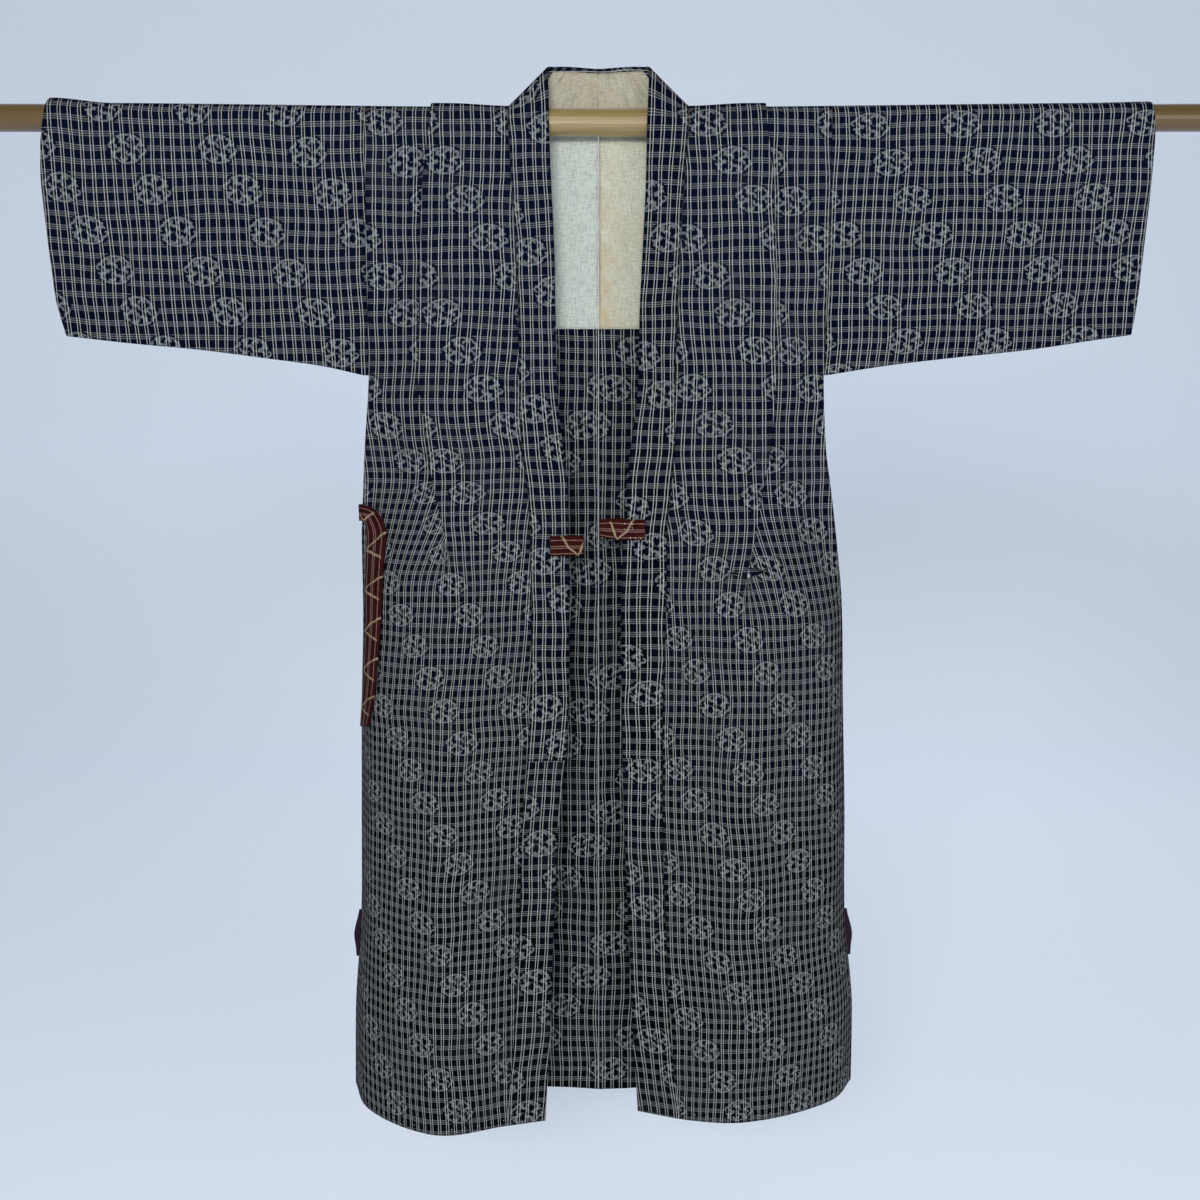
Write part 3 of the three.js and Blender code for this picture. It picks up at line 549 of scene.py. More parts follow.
sideLips = table(("z", "frontY", "backY"), [
    (-263, -2.2, 2.2),
    (-300, -5, 5),
    (-350, -6, 8),
    (-400, -3, 7),
    (-428, 0.8, 2.4),
])
sideSeam = table(("z", "left", "right"), [
    (-428, 1.6, 1.6),
    (-520, 7, 8),
    (-640, 15, 16),
    (-770, 23, 25),
    (-900, 30, 33),
    (-1030, 34, 40),
    (-1131, 36, 44),
])

hemZ = -1131
sleeveFootZ = -263
sideOpeningFootZ = -428
collarEndZ = -690
sleeveOnRod = 14.9
liningOnRod = 14.8
bodyOnRod = 16.2
neckHalf = 95
layerPitch = 1.8
tuckDepth = 26.5
tuckRelease = 140
foldLift = 2.6
seamEdge = 0.25
bandCells = 10
overRodAngles = np.linspace(172, 8, 18)


# the rod's axis sags, so its ends are higher
def rodZ(x):
    return 5 * np.sin(math.pi / 2 * np.asarray(x) / 650) ** 2


def overRod(x, reach, degrees):
    angle = math.radians(degrees)
    return np.array([x, reach * math.cos(angle), rodZ(x) + reach * math.sin(angle)])


left = {
    "name": "left", "side": "Left", "sign": -1, "front": leftFront,
    "tuckEnd": -362, "cuffLift": 5,
    "foot": table(("x", "z"), [
        (252, -263), (300, -253), (370, -244), (445, -235), (515, -229), (590, -221)]),
    "cuff": table(("z", "x"), [
        (25, 577), (-24, 587), (-65, 590), (-118, 589), (-180, 587), (-225, 579)]),
    "rowAt": table(("z", "row"), [
        (0, -1.08), (-42, 0), (-198, 4), (-355, 8), (-487, 12), (-626, 16), (-662, 17), (-800, 21),
        (-944, 25), (-1029, 27.2), (-1131, 29.7)]),
    "centreAt": table(("z", "across"), [
        (0, 142), (-283, 141), (-391, 158), (-487, 161), (-560, 166), (-626, 169), (-662, 175),
        (-800, 186), (-944, 193), (-1029, 201), (-1131, 210)]),
    "sleeveScale": (1.02, 1.0), "sleeveShift": (-3.9, -7.9),
}
right = {
    "name": "right", "side": "Right", "sign": 1, "front": rightFront,
    "tuckEnd": -400, "cuffLift": 1,
    "foot": table(("x", "z"), [
        (247, -263), (320, -252), (400, -243), (470, -236), (540, -226), (590, -219)]),
    "cuff": table(("z", "x"), [
        (25, 581), (-24, 585), (-65, 585), (-118, 584), (-180, 583), (-225, 580)]),
    "rowAt": table(("z", "row"), [
        (0, -1.08), (-42, 0), (-198, 4), (-355, 8), (-511, 12), (-662, 16), (-812, 20),
        (-1131, 28.4)]),
    "centreAt": table(("z", "across"), [
        (0, -165), (-200, -161), (-283, -158), (-400, -172), (-511, -187), (-620, -196),
        (-740, -208), (-812, -210), (-1131, -225)]),
    "sleeveScale": (1.01, 1.12), "sleeveShift": (-44.6, 8.8),
}
halves = (left, right)

# the main creases of the hanging cloth, placed one by one
frontCreases = [
    (-120, -560, -150, -1000, 16, -3.0, 6),
    (-205, -520, -215, -1100, 14, -3.5, -8),
    (-240, -430, -262, -900, 9, 2.2, 5),
    (-150, -640, -115, -1120, 20, 2.4, -6),
    (-95, -420, -170, -560, 12, -2.2, 0),
    (-100, -330, -150, -430, 12, 1.6, 4),
    (-235, -280, -205, -420, 8, -1.6, 0),
    (-120, -60, -130, -300, 22, 1.2, 4),
    (-215, -40, -225, -250, 12, -1.2, 0),
    (120, -540, 135, -1040, 16, -2.8, 6),
    (215, -520, 230, -1100, 15, -3.2, 8),
    (255, -450, 275, -930, 9, 2.0, -5),
    (160, -660, 120, -1110, 22, 2.2, 5),
    (95, -400, 165, -545, 12, -2.0, 0),
    (105, -300, 150, -440, 12, 1.5, -4),
    (225, -290, 200, -430, 8, -1.5, 0),
    (130, -60, 135, -290, 22, 1.2, -4),
    (220, -50, 222, -240, 12, -1.1, 0),
]
backCreases = [
    (-60, -420, -85, -1090, 20, 2.6, 8),
    (-150, -380, -175, -1050, 18, -3.0, -8),
    (-230, -450, -240, -1000, 14, 2.4, 6),
    (60, -400, 80, -1100, 22, 2.4, -8),
    (145, -380, 180, -1080, 18, -2.8, 8),
    (225, -460, 245, -980, 14, 2.3, -5),
    (-190, -60, -200, -320, 12, -1.4, 0),
    (190, -60, 205, -320, 12, -1.4, 0),
    (-40, -300, 60, -380, 14, 1.2, 0),
]
bodyCloth = {"thickness": 0.8, "cut": (0.30, 2.31), "area": 0.60}
bodyCells = {"outer": 20, "turn": 6, "layer": 8, "inner": 22, "neck": 18, "rowHeight": 6}


# the body

def sideY(half, z, isBack):
    turn = 1 if isBack else -1
    if z >= sleeveFootZ:
        return turn * sleeveHalfDepth(z / sleeveFootZ)
    if z > sideOpeningFootZ:
        return along(sideLips, "backY" if isBack else "frontY", z)
    return along(sideSeam, half["name"], z) + turn * 0.9


def sleeveHalfDepth(t):
    return mix(sleeveOnRod, 2.2, np.clip(t, 0, 1) ** 1.8)


# the section with the tuck folded: side, under layers, turn, top layer and inner panel
def closedSection(size):
    side, fold, seam = size["side"], size["fold"], size["seam"]
    sideOut, foldOut, seamOut = size["sideOut"], size["foldOut"], size["seamOut"]
    stitch, under, radius = fold - tuckDepth, foldOut - 2 * layerPitch, layerPitch / 2
    outer = np.linspace(0, 1, bodyCells["outer"] + 1)
    layer, inner, neck = (np.linspace(0, 1, bodyCells[key] + 1)[1:]
                          for key in ("layer", "inner", "neck"))
    a = np.linspace(0, math.pi, bodyCells["turn"] + 1)[1:]
    parts = [
        (mix(side, stitch, outer), mix(sideOut, under, smooth(outer * 1.25))),
        (stitch - radius * np.sin(a), under + radius * (1 - np.cos(a))),
        (mix(stitch, fold, layer), np.full(len(layer), under + layerPitch)),
        (fold + radius * np.sin(a), foldOut - radius * (1 + np.cos(a))),
        (mix(fold, seam, inner), mix(foldOut, seamOut, smooth((inner - 0.25) / 0.75))),
    ]
    if size["middleOut"] is not None:
        parts.append((mix(seam, seamEdge, neck), mix(seamOut, size["middleOut"], neck)))
    return np.hstack(parts).T


# and with the tuck open, its points at the same shares of the length
def openSection(size, closed):
    side, fold, sideOut, foldOut = size["side"], size["fold"], size["sideOut"], size["foldOut"]
    way = [(side, sideOut), (mix(side, fold, 0.22), mix(sideOut, foldOut, 0.5)), (fold, foldOut),
           (size["seam"], size["seamOut"])]
    if size["middleOut"] is not None:
        way.append((seamEdge, size["middleOut"]))
    line = throughPoints(way)
    runs = runsOf(closed)
    return atRuns(line, runs / runs[-1] * runsOf(line)[-1]), runsOf(line)[-1]


# 0 where the tuck is sewn and 1 well below its end
def tuckOpened(half, z):
    return smooth((half["tuckEnd"] - z) / tuckRelease)


# the section at one height: distances from the middle and out, and place on the cloth
def bodySection(half, z, isBack):
    front = {key: along(half["front"], key, z) for key in frontColumns[1:]}
    size = {
        "side": front["side"] - seamEdge,
        "fold": front["fold"],
        "seam": neckHalf + seamEdge if isBack else front["seam"] + seamEdge,
        "sideOut": (1 if isBack else -1) * sideY(half, z, isBack),
        "foldOut": along(backLines, "foldY", z) if isBack else -front["foldY"],
        "seamOut": along(backLines, "neckY", z) if isBack else -front["seamY"],
        "middleOut": along(backLines, "middleY", z) if isBack else None,
    }
    closed = closedSection(size)
    runs = runsOf(closed)
    opened = tuckOpened(half, z)
    section = closed
    if opened > 0:
        openLine, openTotal = openSection(size, closed)
        section = mix(closed, openLine, opened)
        if isBack:
            runs = mix(runs, runs * openTotal / runs[-1], opened)
    if isBack:
        runs = half["backTotal"] - (runs[-1] - runs)
    return section, runs


# how far creases push the cloth out: nothing at the seams
def bodyRelief(half, distance, z, isBack):
    creases = backCreases if isBack else frontCreases
    x = half["sign"] * distance
    side, seam = (along(half["front"], key, z) for key in ("side", "seam"))
    calm = smooth((side - distance) / 14) * (1.0 if isBack else smooth((distance - seam) / 12))
    low = smooth(-z / 60)
    return (creased(creases, x, z) + uneven(x, z, 0.9)) * calm * low


def bodyPoints(half, z, isBack):
    section, runs = bodySection(half, z, isBack)
    distance, out = section[:, 0], section[:, 1]
    cut = bodyCells["outer"] + 2 * bodyCells["turn"] + bodyCells["layer"]
    relief = bodyRelief(half, distance, z, isBack)
    # the layers of the tuck move together with the fold
    first = bodyCells["outer"]
    relief[first:cut] = relief[cut]
    # and its edge stands a little off the cloth beside it
    near = smooth(1 - (distance[cut] - distance[first:]) / 22)
    relief[first:] += foldLift * (1 - tuckOpened(half, z)) * smooth(-z / 60) * near
    out = out + relief
    lift = rodZ(distance) * np.clip(1 + z / 60, 0, 1)
    y = out if isBack else -out
    return np.column_stack([half["sign"] * distance, y, z + lift]), runs, out


def makeBody(half):
    half["backTotal"] = 0.0
    half["backTotal"] = -bodySection(half, 0.0, True)[1][0]
    heights = np.linspace(hemZ, 0, int(-hemZ / bodyCells["rowHeight"]) + 1)
    backTop, backRuns, backOut = bodyPoints(half, 0.0, True)
    frontOut = bodyPoints(half, 0.0, False)[2]
    wide = len(backTop)
    neckColumn = len(frontOut) - 1
    frontOut = np.concatenate([frontOut, backOut[len(frontOut):]])
    arc = math.pi * bodyOnRod
    rows, maps = [], []
    for z in heights:
        points, runs, _ = bodyPoints(half, z, False)
        rows.append(np.vstack([points, np.repeat(points[-1:], wide - len(points), axis=0)]))
        maps.append((np.concatenate([runs, backRuns[len(runs):]]), z))
    for degrees in overRodAngles:
        out = mix(backOut, frontOut, degrees / 180)
        angle = math.radians(degrees)
        x = backTop[:, 0]
        rows.append(np.column_stack([x, out * math.cos(angle), rodZ(x) + out * math.sin(angle)]))
        maps.append((backRuns, arc * (180 - degrees) / 180))
    neckRow = len(heights) + int(np.argmin(abs(overRodAngles - 60)))
    for z in heights[::-1]:
        points, runs, _ = bodyPoints(half, z, True)
        rows.append(points)
        maps.append((runs, arc - z))
    # the roundels' rows and columns lie where they hang on the real cloth
    uv = []
    for runs, up in maps:
        z = min(up, 0)
        rowsUp = -along(half["rowAt"], "row", z) * 3 * checkCloth["rowHeight"] + max(up, 0)
        centre = along(half["centreAt"], "across", z) - checkCloth["roundelEvery"] / 2
        uv.append(np.column_stack([-half["sign"] * runs - centre, np.full(wide, rowsUp)]))

    def has(i, j):
        return (j < neckColumn) | (i >= neckRow)

    name = "body" + half["side"]
    mesh = sheetMesh(name, rows, uv, offTheRod, has)
    clothPiece(name, mesh, bodyCloth, bodyCheck, "body_" + half["name"])


for half in halves:
    makeBody(half)
print("body halves made")


# the sleeves

sleeveCloth = {"thickness": 0.8, "cut": (0.34, 0.55), "columns": 61, "rows": 40}
sleeveCreases = [
    (-300, -40, -310, -240, 14, 1.6, 4),
    (-350, -30, -372, -230, 16, -1.5, 5),
    (-420, -20, -418, -225, 20, 1.5, -5),
    (-500, -30, -515, -215, 18, -1.6, 6),
    (-560, -40, -556, -210, 12, 1.4, 3),
    (300, -40, 306, -240, 14, 1.5, -4),
    (355, -30, 370, -235, 16, -1.6, 5),
    (430, -20, 424, -225, 20, 1.5, 5),
    (505, -30, 520, -215, 18, -1.5, -6),
    (560, -40, 552, -210, 12, 1.4, 3),
]


def makeSleeve(half):
    sign = half["sign"]
    down = np.linspace(0, 1, sleeveCloth["rows"])
    a = np.radians(overRodAngles)
    scaleX, scaleUp = half["sleeveScale"]
    shiftX, shiftUp = half["sleeveShift"]
    columns, maps = [], []
    topSide = along(half["front"], "side", 0)
    cuffSide = along(half["cuff"], "x", -65)
    for part in np.linspace(0, 1, sleeveCloth["columns"]):
        x = mix(topSide, cuffSide, part)
        axis = rodZ(x) + half["cuffLift"] * smooth((part - 0.8) / 0.2)
        foot = along(half["foot"], "z", x)
        z = mix(axis, foot + 1.6, down)
        calm = (smooth(down / 0.2) * smooth((1 - down) / 0.12) * smooth(part / 0.06)
                * smooth((1 - part) / 0.04 + 0.3))
        relief = (creased(sleeveCreases, sign * x, z) + uneven(sign * x, z, 0.8)) * calm
        depth = sleeveHalfDepth(down)
        back = np.column_stack([depth + relief * 0.7, z, math.pi * sleeveOnRod + axis - z])
        ys, zs, ups = np.vstack([
            [(0.0, foot, foot - axis - 1.5), (-1.5, foot + 0.5, foot - axis - 0.5)],
            np.column_stack([-depth - relief, z, z - axis])[::-1],
            np.column_stack([sleeveOnRod * np.cos(a), axis + sleeveOnRod * np.sin(a),
                             sleeveOnRod * (math.pi - a)]),
            back,
            [(1.5, foot + 0.5, back[-1, 2] + 1), (0.05, foot, back[-1, 2] + 2)],
        ]).T
        xs = mix(along(half["front"], "side", zs) + seamEdge, along(half["cuff"], "x", zs), part)
        columns.append(np.column_stack([sign * xs, ys, zs]))
        maps.append(np.column_stack([sign * xs * scaleX + shiftX, ups * scaleUp + shiftUp]))
    name = "sleeve" + half["side"]
    mesh = sheetMesh(name, np.stack(columns, axis=1), np.stack(maps, axis=1), offTheRod)
    clothPiece(name, mesh, sleeveCloth, sleeveCheck, "sleeve_" + half["name"])


for half in halves:
    makeSleeve(half)
print("sleeves made")


# the collar, its lining and the overlap strips

collarCloth = {"thickness": 1.7, "cut": (0.044, 1.62), "evenly": False, "width": 43,
               "rowEvery": 5.75, "mapShift": (9.7, 8.8)}
overlapCloth = {"thickness": 0.8, "cut": (0.048, 0.44), "rows": 74, "mapShift": 3.0}
neckCloth = {"thickness": 0.6, "cut": (0.037, 0.16), "reach": 0.88, "columns": 61, "rows": 13}
# where it goes over the shoulder: its seam's angle over the rod, and its fold's x, y, z
collarFold = ((150, 52, -15, 22), (122, 53, -11, 43), (96, 53.5, -4, 53.5), (76, 52, 4, 56.5))


def frontBand(half, z):
    at = {key: along(half["front"], key, z) for key in ("edge", "seam", "edgeY", "seamY")}
    lift = rodZ(neckHalf) * max(0, 1 + z / 60)
    bulge = uneven(half["sign"] * at["seam"], z * 1.4, 0.5) * smooth(-z / 80)
    seam = np.array([half["sign"] * (at["seam"] - seamEdge), at["seamY"], z + lift])
    edge = np.array([half["sign"] * at["edge"], at["edgeY"] - bulge, z + lift])
    return seam, edge


def standBand(t):
    away = abs(t)
    seam = overRod(t * 92, bodyOnRod, 64)
    top = np.array([t * (50 - 2.5 * away ** 4), mix(14, 10, away),
                    mix(57, 59.5, away) - 1.2 * away ** 6])
    return seam, top


def makeCollar():
    def sideRows(half):
        keys = [frontBand(half, z) for z in np.arange(collarEndZ, 1, collarCloth["rowEvery"])]
        for angle, x, y, z in collarFold:
            keys.append((overRod(half["sign"] * (neckHalf - 0.8), bodyOnRod, angle),
                         np.array([half["sign"] * x, y, z])))
        return keys

    keys = sideRows(left) + [standBand(t) for t in (-1, -2 / 3, -1 / 3, 0, 1 / 3, 2 / 3, 1)]
    keys += sideRows(right)[::-1]
    seamLine = throughPoints([k[0] for k in keys], 4)
    edgeLine = throughPoints([k[1] for k in keys], 4)
    # the middle of the band carries the cloth's own length
    lengths = runsOf((seamLine + edgeLine) / 2)
    across = np.linspace(0, 1, bandCells + 1)
    grid = [[mix(s, e, t) for t in across] for s, e in zip(seamLine, edgeLine)]
    shiftX, shiftUp = collarCloth["mapShift"]
    uv = [[(t * collarCloth["width"] + shiftX, run + collarEndZ + shiftUp) for t in across]
          for run in lengths]
    mesh = sheetMesh("collarBand", grid, uv, (0, -1, 0.2))
    clothPiece("collarBand", mesh, collarCloth, collarCheck, "collar")


def makeOverlap(half):
    across = np.linspace(0, 1, bandCells + 1)
    grid, uv = [], []
    for z in np.linspace(hemZ, collarEndZ - 0.3, overlapCloth["rows"]):
        seam, edge = frontBand(half, z)
        grid.append([mix(seam, edge, t) for t in across])
        width = np.linalg.norm(edge - seam)
        uv.append([(-half["sign"] * (t * width + overlapCloth["mapShift"]), z) for t in across])
    name = "overlap" + half["side"]
    mesh = sheetMesh(name, grid, uv, (0, -1, 0))
    clothPiece(name, mesh, overlapCloth, bodyCheck, "overlap_" + half["name"])


def makeCollarLining():
    reach, ups = neckCloth["reach"], np.linspace(0, 1, neckCloth["rows"])
    grid, uv = [], []
    for t in np.linspace(-reach, reach, neckCloth["columns"]):
        seam, top = standBand(t)
        low, high = seam - [0, 0, 0.4], mix(seam, top, reach)
        rows = []
        for s in ups:
            point = mix(low, high, s) - [0, 2.2, 0]
            # soft upright creases
            point[1] -= 0.55 * math.sin(t * 15 + s) * math.sin(math.pi * s)
            point[1] -= 0.3 * math.sin(t * 37 + 1 - s * 2) * s
            point[1] += 0.7 * math.exp(-(t * 92 / 1.5) ** 2) * smooth(s * 4)
            rows.append(point)
        grid.append(rows)
        uv.append([(t * 90, s * 37) for s in ups])
    mesh = sheetMesh("collarLining", grid, uv, (0, -1, 0.3))
    clothPiece("collarLining", mesh, neckCloth, neckCotton, "collar_lining")


makeCollar()
for half in halves:
    makeOverlap(half)
makeCollarLining()
print("collar made")


# the shoulder lining

liningCloth = {"thickness": 0.6, "cut": (0.138, 0.23), "width": 138, "columns": 29,
               "length": 213, "rows": 43}


def makeShoulderLining(half, material):
    across = np.linspace(seamEdge, liningCloth["width"], liningCloth["columns"])
    grid, uv = [], []
    for degrees in np.linspace(60, 6, 8):
        grid.append([overRod(half["sign"] * x, liningOnRod, degrees) for x in across])
        uv.append([(x, liningOnRod * math.radians(degrees)) for x in across])
    for z in np.linspace(0, -liningCloth["length"], liningCloth["rows"]):
        row = []
        for x in across:
            sx = half["sign"] * x
            wave = uneven(sx * 2, z, 0.35) * smooth(-z / 40)
            lift = rodZ(x) * max(0, 1 + z / 60)
            row.append([sx, liningOnRod + 0.5 * smooth(-z / 130) + wave * 0.5, z + lift])
        grid.append(row)
        uv.append([(x, z) for x in across])
    name = "shoulderLining" + half["side"]
    mesh = sheetMesh(name, grid, uv, (0, 1, 0.2))
    clothPiece(name, mesh, liningCloth, material, "shoulder_lining_" + half["name"])


makeShoulderLining(left, whiteCotton)
makeShoulderLining(right, creamCotton)
print("linings made")


# the ties

# one edge of the tie at x, y, z and the other at toX, y, toZ
leftTieRows = [
    (-53, -34.1, -437, -53, -459),
    (-36, -33.4, -436.5, -36, -458.5),
    (-20, -32.8, -437, -20, -458),
    (-18, -32, -437, -18, -458),
    (-17.2, -30.3, -437, -17.2, -458),
    (-18, -28.6, -437, -18, -458),
    (-22, -27.6, -437, -22, -458),
    (-50, -27, -435, -50, -456),
    (-100, -20, -432, -100, -453),
    (-160, -11, -424, -160, -445),
    (-215, -4, -414, -215, -435),
    (-248, 0.5, -407, -248, -426),
    (-259, 1.4, -405, -259, -424),
    (-265.5, 1.2, -405, -265.5, -423.5),
    (-267.6, -0.4, -405, -267.6, -423.5),
]
# the tail on the front: height and distance from the middle of its outer and inner edge
leftTailRows = [
    (-405, 262, -423, 262),
    (-408, 250, -424, 258),
    (-412, 243, -430, 257),
    (-432, 232, -436, 256),
    (-465, 234, -465, 256),
    (-498, 236, -498, 257),
    (-540, 239, -540, 258),
    (-575, 243, -575, 261),
    (-610, 247, -610, 264),
    (-654, 257, -662, 271),
]
rightTieRows = [
    (51, -30.2, -419, 51, -441),
    (30, -30, -418.5, 30, -441.5),
    (12, -30, -418, 12, -440),
    (3, -29.8, -419, 3, -438),
    (1.6, -28.6, -419, 1.6, -438),
    (1.6, -26.6, -419, 1.6, -438),
    (3, -25, -419, 3, -438),
    (24, -24.2, -418, 24, -440),
    (58, -23.4, -417, 58, -439),
    (72, -23, -418, 62, -440),
    (84, -22.6, -425, 63, -446),
    (85, -22.4, -445, 63, -455),
    (85, -22, -520, 64, -520),
    (86, -21.5, -610, 65, -610),
    (85, -21, -700, 66, -700),
    (84, -21, -790, 66, -790),
]
tieShape = {"width": 22, "cells": 8, "lift": 3.9}
leftTie = {"thickness": 1.2, "cut": (0.022, 0.57)}
rightTie = {"thickness": 1.2, "cut": (0.022, 0.46)}


# a point that stands clear of the front's outer face
def onFrontFace(half, z, distance, clear):
    points = bodyPoints(half, z, False)[0]
    across, out = half["sign"] * points[:, 0], -points[:, 1]
    k = int(max(1, np.argmax(across <= distance)))
    part = (across[k - 1] - distance) / (across[k - 1] - across[k])
    slope = np.array([across[k - 1] - across[k], out[k - 1] - out[k]])
    slope = slope / np.linalg.norm(slope)
    at = np.array([mix(across[k - 1], across[k], part), mix(out[k - 1], out[k], part)])
    at = at + np.array([-slope[1], slope[0]]) * (0.6 + clear)
    return np.array([half["sign"] * at[0], -at[1], z])


def makeTie(name, rows, stands, cloth, tail=()):
    starts = [np.array([x, y, z], dtype=float) for x, y, z, toX, toZ in rows]
    ends = [np.array([toX, y, toZ], dtype=float) for x, y, z, toX, toZ in rows]
    middles = [mix(a, b, 0.5) for a, b in zip(starts, ends)]
    for z, outer, innerZ, inner in tail:
        lift = tieShape["lift"]
        starts.append(onFrontFace(left, z, outer, lift))
        middles.append(onFrontFace(left, mix(z, innerZ, 0.5), mix(outer, inner, 0.5), lift))
        ends.append(onFrontFace(left, innerZ, inner, lift))
    lines = [throughPoints(line, 8) for line in (starts, middles, ends)]
    lengths = runsOf(lines[1])
    across = np.linspace(0, 1, tieShape["cells"] + 1)
    grid, uv = [], []
    for a, m, b, run in zip(*lines, lengths):
        bend = m - (a + b) / 2
        grid.append([mix(a, b, t) + bend * 4 * t * (1 - t) for t in across])
        uv.append([(t * tieShape["width"], run) for t in across])
    # the first rows are the end on the collar's face, which looks forward
    mesh = sheetMesh(name, grid, uv, (0, 0, 0))
    if mesh.polygons[0].normal.y > 0:
        mesh.flip_normals()
    clothPiece(name, mesh, cloth, maroonCotton, stands)


makeTie("tieLeft", leftTieRows, "tie_left", leftTie, leftTailRows)
makeTie("tieRight", rightTieRows, "tie_right", rightTie)
print("ties made")


# small plum tabs let into the side seams

tabCloth = {"thickness": 1.0, "cut": (0.010, 0.062)}
tabOff = table(("z", "off"), [
    (-899, 1.8), (-908, 3.2), (-919, 5.6), (-930, 6.6), (-941, 5.4), (-952, 3.2), (-960, 1.8),
])


def makeSideTab(half):
    across = np.linspace(0, 1, 9)
    grid, uv = [], []
    for z in np.linspace(tabOff["z"][0], tabOff["z"][-1], 25):
        x = along(half["front"], "side", z) - 1.0
        off = along(tabOff, "off", z) + 2.0
        seam = along(sideSeam, half["name"], z)
        grid.append([[half["sign"] * (x + off * t), seam + 0.8 * math.sin(t * 3 + z * 0.2), z]
                     for t in across])
        uv.append([(off * t, z) for t in across])
    name = "sideTab" + half["side"]
    mesh = sheetMesh(name, grid, uv, (0, -1, 0))
    clothPiece(name, mesh, tabCloth, plumCotton, "side_tab_" + half["name"])


for half in halves:
    makeSideTab(half)
print("side tabs made")


# the sewing that shows, run along lines by Geometry Nodes

sewing = {"uneven": 0.3, "seed": 7}


def stitchTree():
    tree = bpy.data.node_groups.new("stitches", "GeometryNodeTree")
    tree.interface.new_socket("Geometry", in_out="INPUT", socket_type="NodeSocketGeometry")
    for name, kind in (("Every", "Float"), ("Length", "Float"), ("Width", "Float"),
                       ("Uneven", "Float"), ("Seed", "Int"), ("Thread", "Material")):
        tree.interface.new_socket(name, in_out="INPUT", socket_type="NodeSocket" + kind)
    tree.interface.new_socket("Geometry", in_out="OUTPUT", socket_type="NodeSocketGeometry")

    add = functools.partial(addNode, tree)
    given = add("NodeGroupInput").outputs
    curve = add("GeometryNodeMeshToCurve", Mesh=given["Geometry"])
    places = add("GeometryNodeCurveToPoints", {"mode": "LENGTH"},
                 Curve=curve.outputs[0], Length=given["Every"])
    turn = add("FunctionNodeAlignRotationToVector", {"axis": "X"}, Vector=places.outputs["Tangent"])
    vary = add("FunctionNodeRandomValue", {"data_type": "FLOAT"}, Seed=given["Seed"])
    feed(tree, vary.inputs[2], 1.0 - Num(tree, given["Uneven"]))
    vary.inputs[3].default_value = 1.0
    size = add("ShaderNodeCombineXYZ", X=given["Length"], Y=given["Width"], Z=given["Width"])
    grown = add("ShaderNodeVectorMath", {"operation": "SCALE"}, Vector=size.outputs[0],
                Scale=vary.outputs[1])
    thread = add("GeometryNodeMeshIcoSphere", Radius=0.5, Subdivisions=2)
    sewn = add("GeometryNodeInstanceOnPoints", Points=places.outputs["Points"],
               Instance=thread.outputs[0], Rotation=turn.outputs[0], Scale=grown.outputs[0])
    real = add("GeometryNodeRealizeInstances", Geometry=sewn.outputs[0])
    colored = add("GeometryNodeSetMaterial", Geometry=real.outputs[0], Material=given["Thread"])
    add("NodeGroupOutput", Geometry=colored.outputs[0])
    return tree


stitches = stitchTree()


def sewAlong(name, lines, every, length, width, thread):
    mesh = bpy.data.meshes.new(name)
    points = [point for line in lines for point in line]
    edges, start = [], 0
    for line in lines:
        edges += [(start + k, start + k + 1) for k in range(len(line) - 1)]
        start += len(line)
    mesh.from_pydata([tuple(0.001 * np.asarray(point)) for point in points], edges, [])
    sewn = addObject(name, mesh)
    run = sewn.modifiers.new("stitches", "NODES")
    run.node_group = stitches
    values = {"Every": every * 0.001, "Length": length * 0.001, "Width": width * 0.001,
              "Uneven": sewing["uneven"], "Seed": sewing["seed"], "Thread": thread}
    for socket in stitches.interface.items_tree:
        if socket.in_out == "INPUT" and socket.name in values:
            run[socket.identifier] = values[socket.name]
    graph = bpy.context.evaluated_depsgraph_get()
    plain = bpy.data.meshes.new_from_object(sewn.evaluated_get(graph))
    sewn.modifiers.clear()
    sewn.data = plain
    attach(sewn, "root")


def threadLook(name, color):
    paint = Paint(name, Roughness=0.8, Specular_IOR_Level=0.2)
    place = paint.node("ShaderNodeTexCoord")
    twist = paint.node("ShaderNodeTexNoise", Vector=place.outputs["Object"], Scale=900.0,
                       Detail=1.0)
    darker = tuple(0.7 * c for c in color[:3]) + (1,)
    return paint.finish(paint.blend(paint.number(twist.outputs["Fac"]), color, darker))


whiteThread = threadLook("white thread", (0.80, 0.80, 0.76, 1))
creamThread = threadLook("cream thread", (0.60, 0.56, 0.44, 1))

tieDots = [[(28.6, -31.0, -423.2), (37, -31.0, -424)], [(28.6, -30.9, -429.4), (37, -30.9, -428)],
           [(35, -30.9, -439), (46, -30.9, -439.6)]]
sewAlong("stitchesOfTheTie", tieDots, 5.4, 1.5, 1.1, whiteThread)
hems = []
for half in halves:
    low = hemZ + 8
    inner, outer = (along(half["front"], key, low) for key in ("seam", "side"))
    hems.append([onFrontFace(half, low, x, 0.15) for x in np.linspace(inner + 5, outer - 6, 24)])
    seam, edge = frontBand(half, low)
    hems.append([mix(seam, edge, t) - [0, 0.55, 0] for t in np.linspace(0.1, 0.9, 5)])
sewAlong("stitchesOfTheHem", hems, 15, 1.3, 0.7, whiteThread)
foot = [[(half["sign"] * x, liningOnRod + 0.05, -209.5) for x in np.linspace(6, 132, 12)]
        for half in halves]
sewAlong("stitchesOfTheLining", foot, 9, 2.2, 0.7, creamThread)
print("stitches sewn")


# stage: pale floor and backdrop, soft lights, camera

stageLook = {"floorZ": -1.42, "wallY": 3.2, "bend": 0.9, "glow": 0.20,
             "color": (0.75, 0.81, 0.90, 1)}


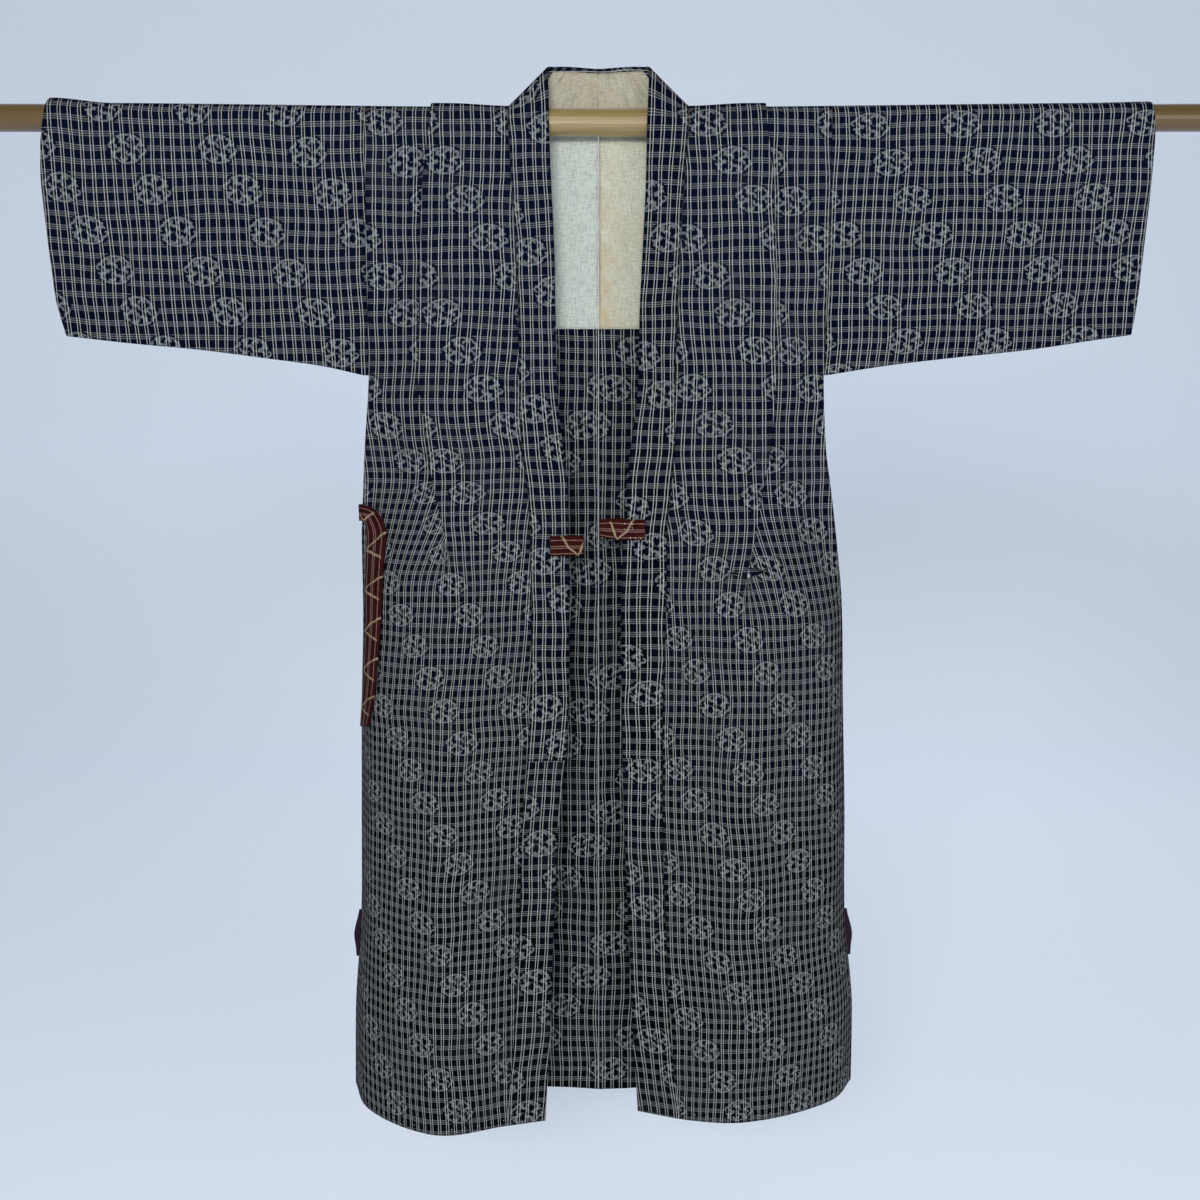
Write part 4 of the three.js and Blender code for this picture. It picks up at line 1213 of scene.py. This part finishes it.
def makeStage():
    floor, wall = stageLook["floorZ"], stageLook["wallY"]
    # a wide bend, so that no line shows between floor and wall
    r = stageLook["bend"]
    bend = [(wall - r + r * math.sin(a), floor + r - r * math.cos(a))
            for a in np.linspace(0, math.pi / 2, 25)]
    profile = [(-5.0, floor)] + bend + [(wall, floor + 4.6)]
    points = [(x, y, z) for y, z in profile for x in (-7.0, 7.0)]
    faces = [(2 * k, 2 * k + 1, 2 * k + 3, 2 * k + 2) for k in range(len(profile) - 1)]
    mesh = bpy.data.meshes.new("backdrop")
    mesh.from_pydata(points, [], faces)
    mesh.shade_smooth()
    backdrop = addObject("backdrop", mesh)
    paint = Paint("backdrop", Roughness=0.95, Specular_IOR_Level=0.1,
                  Emission_Color=stageLook["color"], Emission_Strength=stageLook["glow"])
    mesh.materials.append(paint.finish(stageLook["color"]))


def areaLight(name, place, target, size, power, color):
    data = bpy.data.lights.new(name, "AREA")
    data.shape = "RECTANGLE"
    data.size, data.size_y = size
    data.energy = power
    data.color = color
    lamp = addObject(name, data)
    lamp.location = place
    x, y, z = np.subtract(target, place)
    lamp.rotation_euler = (math.pi / 2 + math.atan2(z, math.hypot(x, y)), 0, -math.atan2(x, y))
    lamp.visible_camera = False


makeStage()
areaLight("key", (-0.3, -2.7, 0.45), (0, 0, -0.55), (1.2, 0.6), 59, (1.0, 0.985, 0.96))
areaLight("fill", (1.6, -2.2, -0.1), (0, 0, -0.6), (1.4, 1.6), 12, (0.94, 0.97, 1.0))
areaLight("back", (0.8, 2.7, 0.7), (0, 0, -0.6), (2.0, 1.2), 15, (0.97, 0.98, 1.0))
world = bpy.data.worlds.new("studio")
world.use_nodes = True
background = world.node_tree.nodes["Background"].inputs
background["Color"].default_value = (0.80, 0.85, 0.92, 1)
background["Strength"].default_value = 0.36
scene.world = world

cameraLook = {"place": (0.0016, -1.372, -0.2717), "down": 10.0, "focal": 36.9}
cameraData = bpy.data.cameras.new("camera")
cameraData.sensor_width = 36
cameraData.lens = cameraLook["focal"]
camera = addObject("camera", cameraData)
camera.location = cameraLook["place"]
camera.rotation_euler = (math.radians(90 - cameraLook["down"]), 0, 0)
scene.camera = camera
scene.view_settings.view_transform = "Standard"
print("stage made")
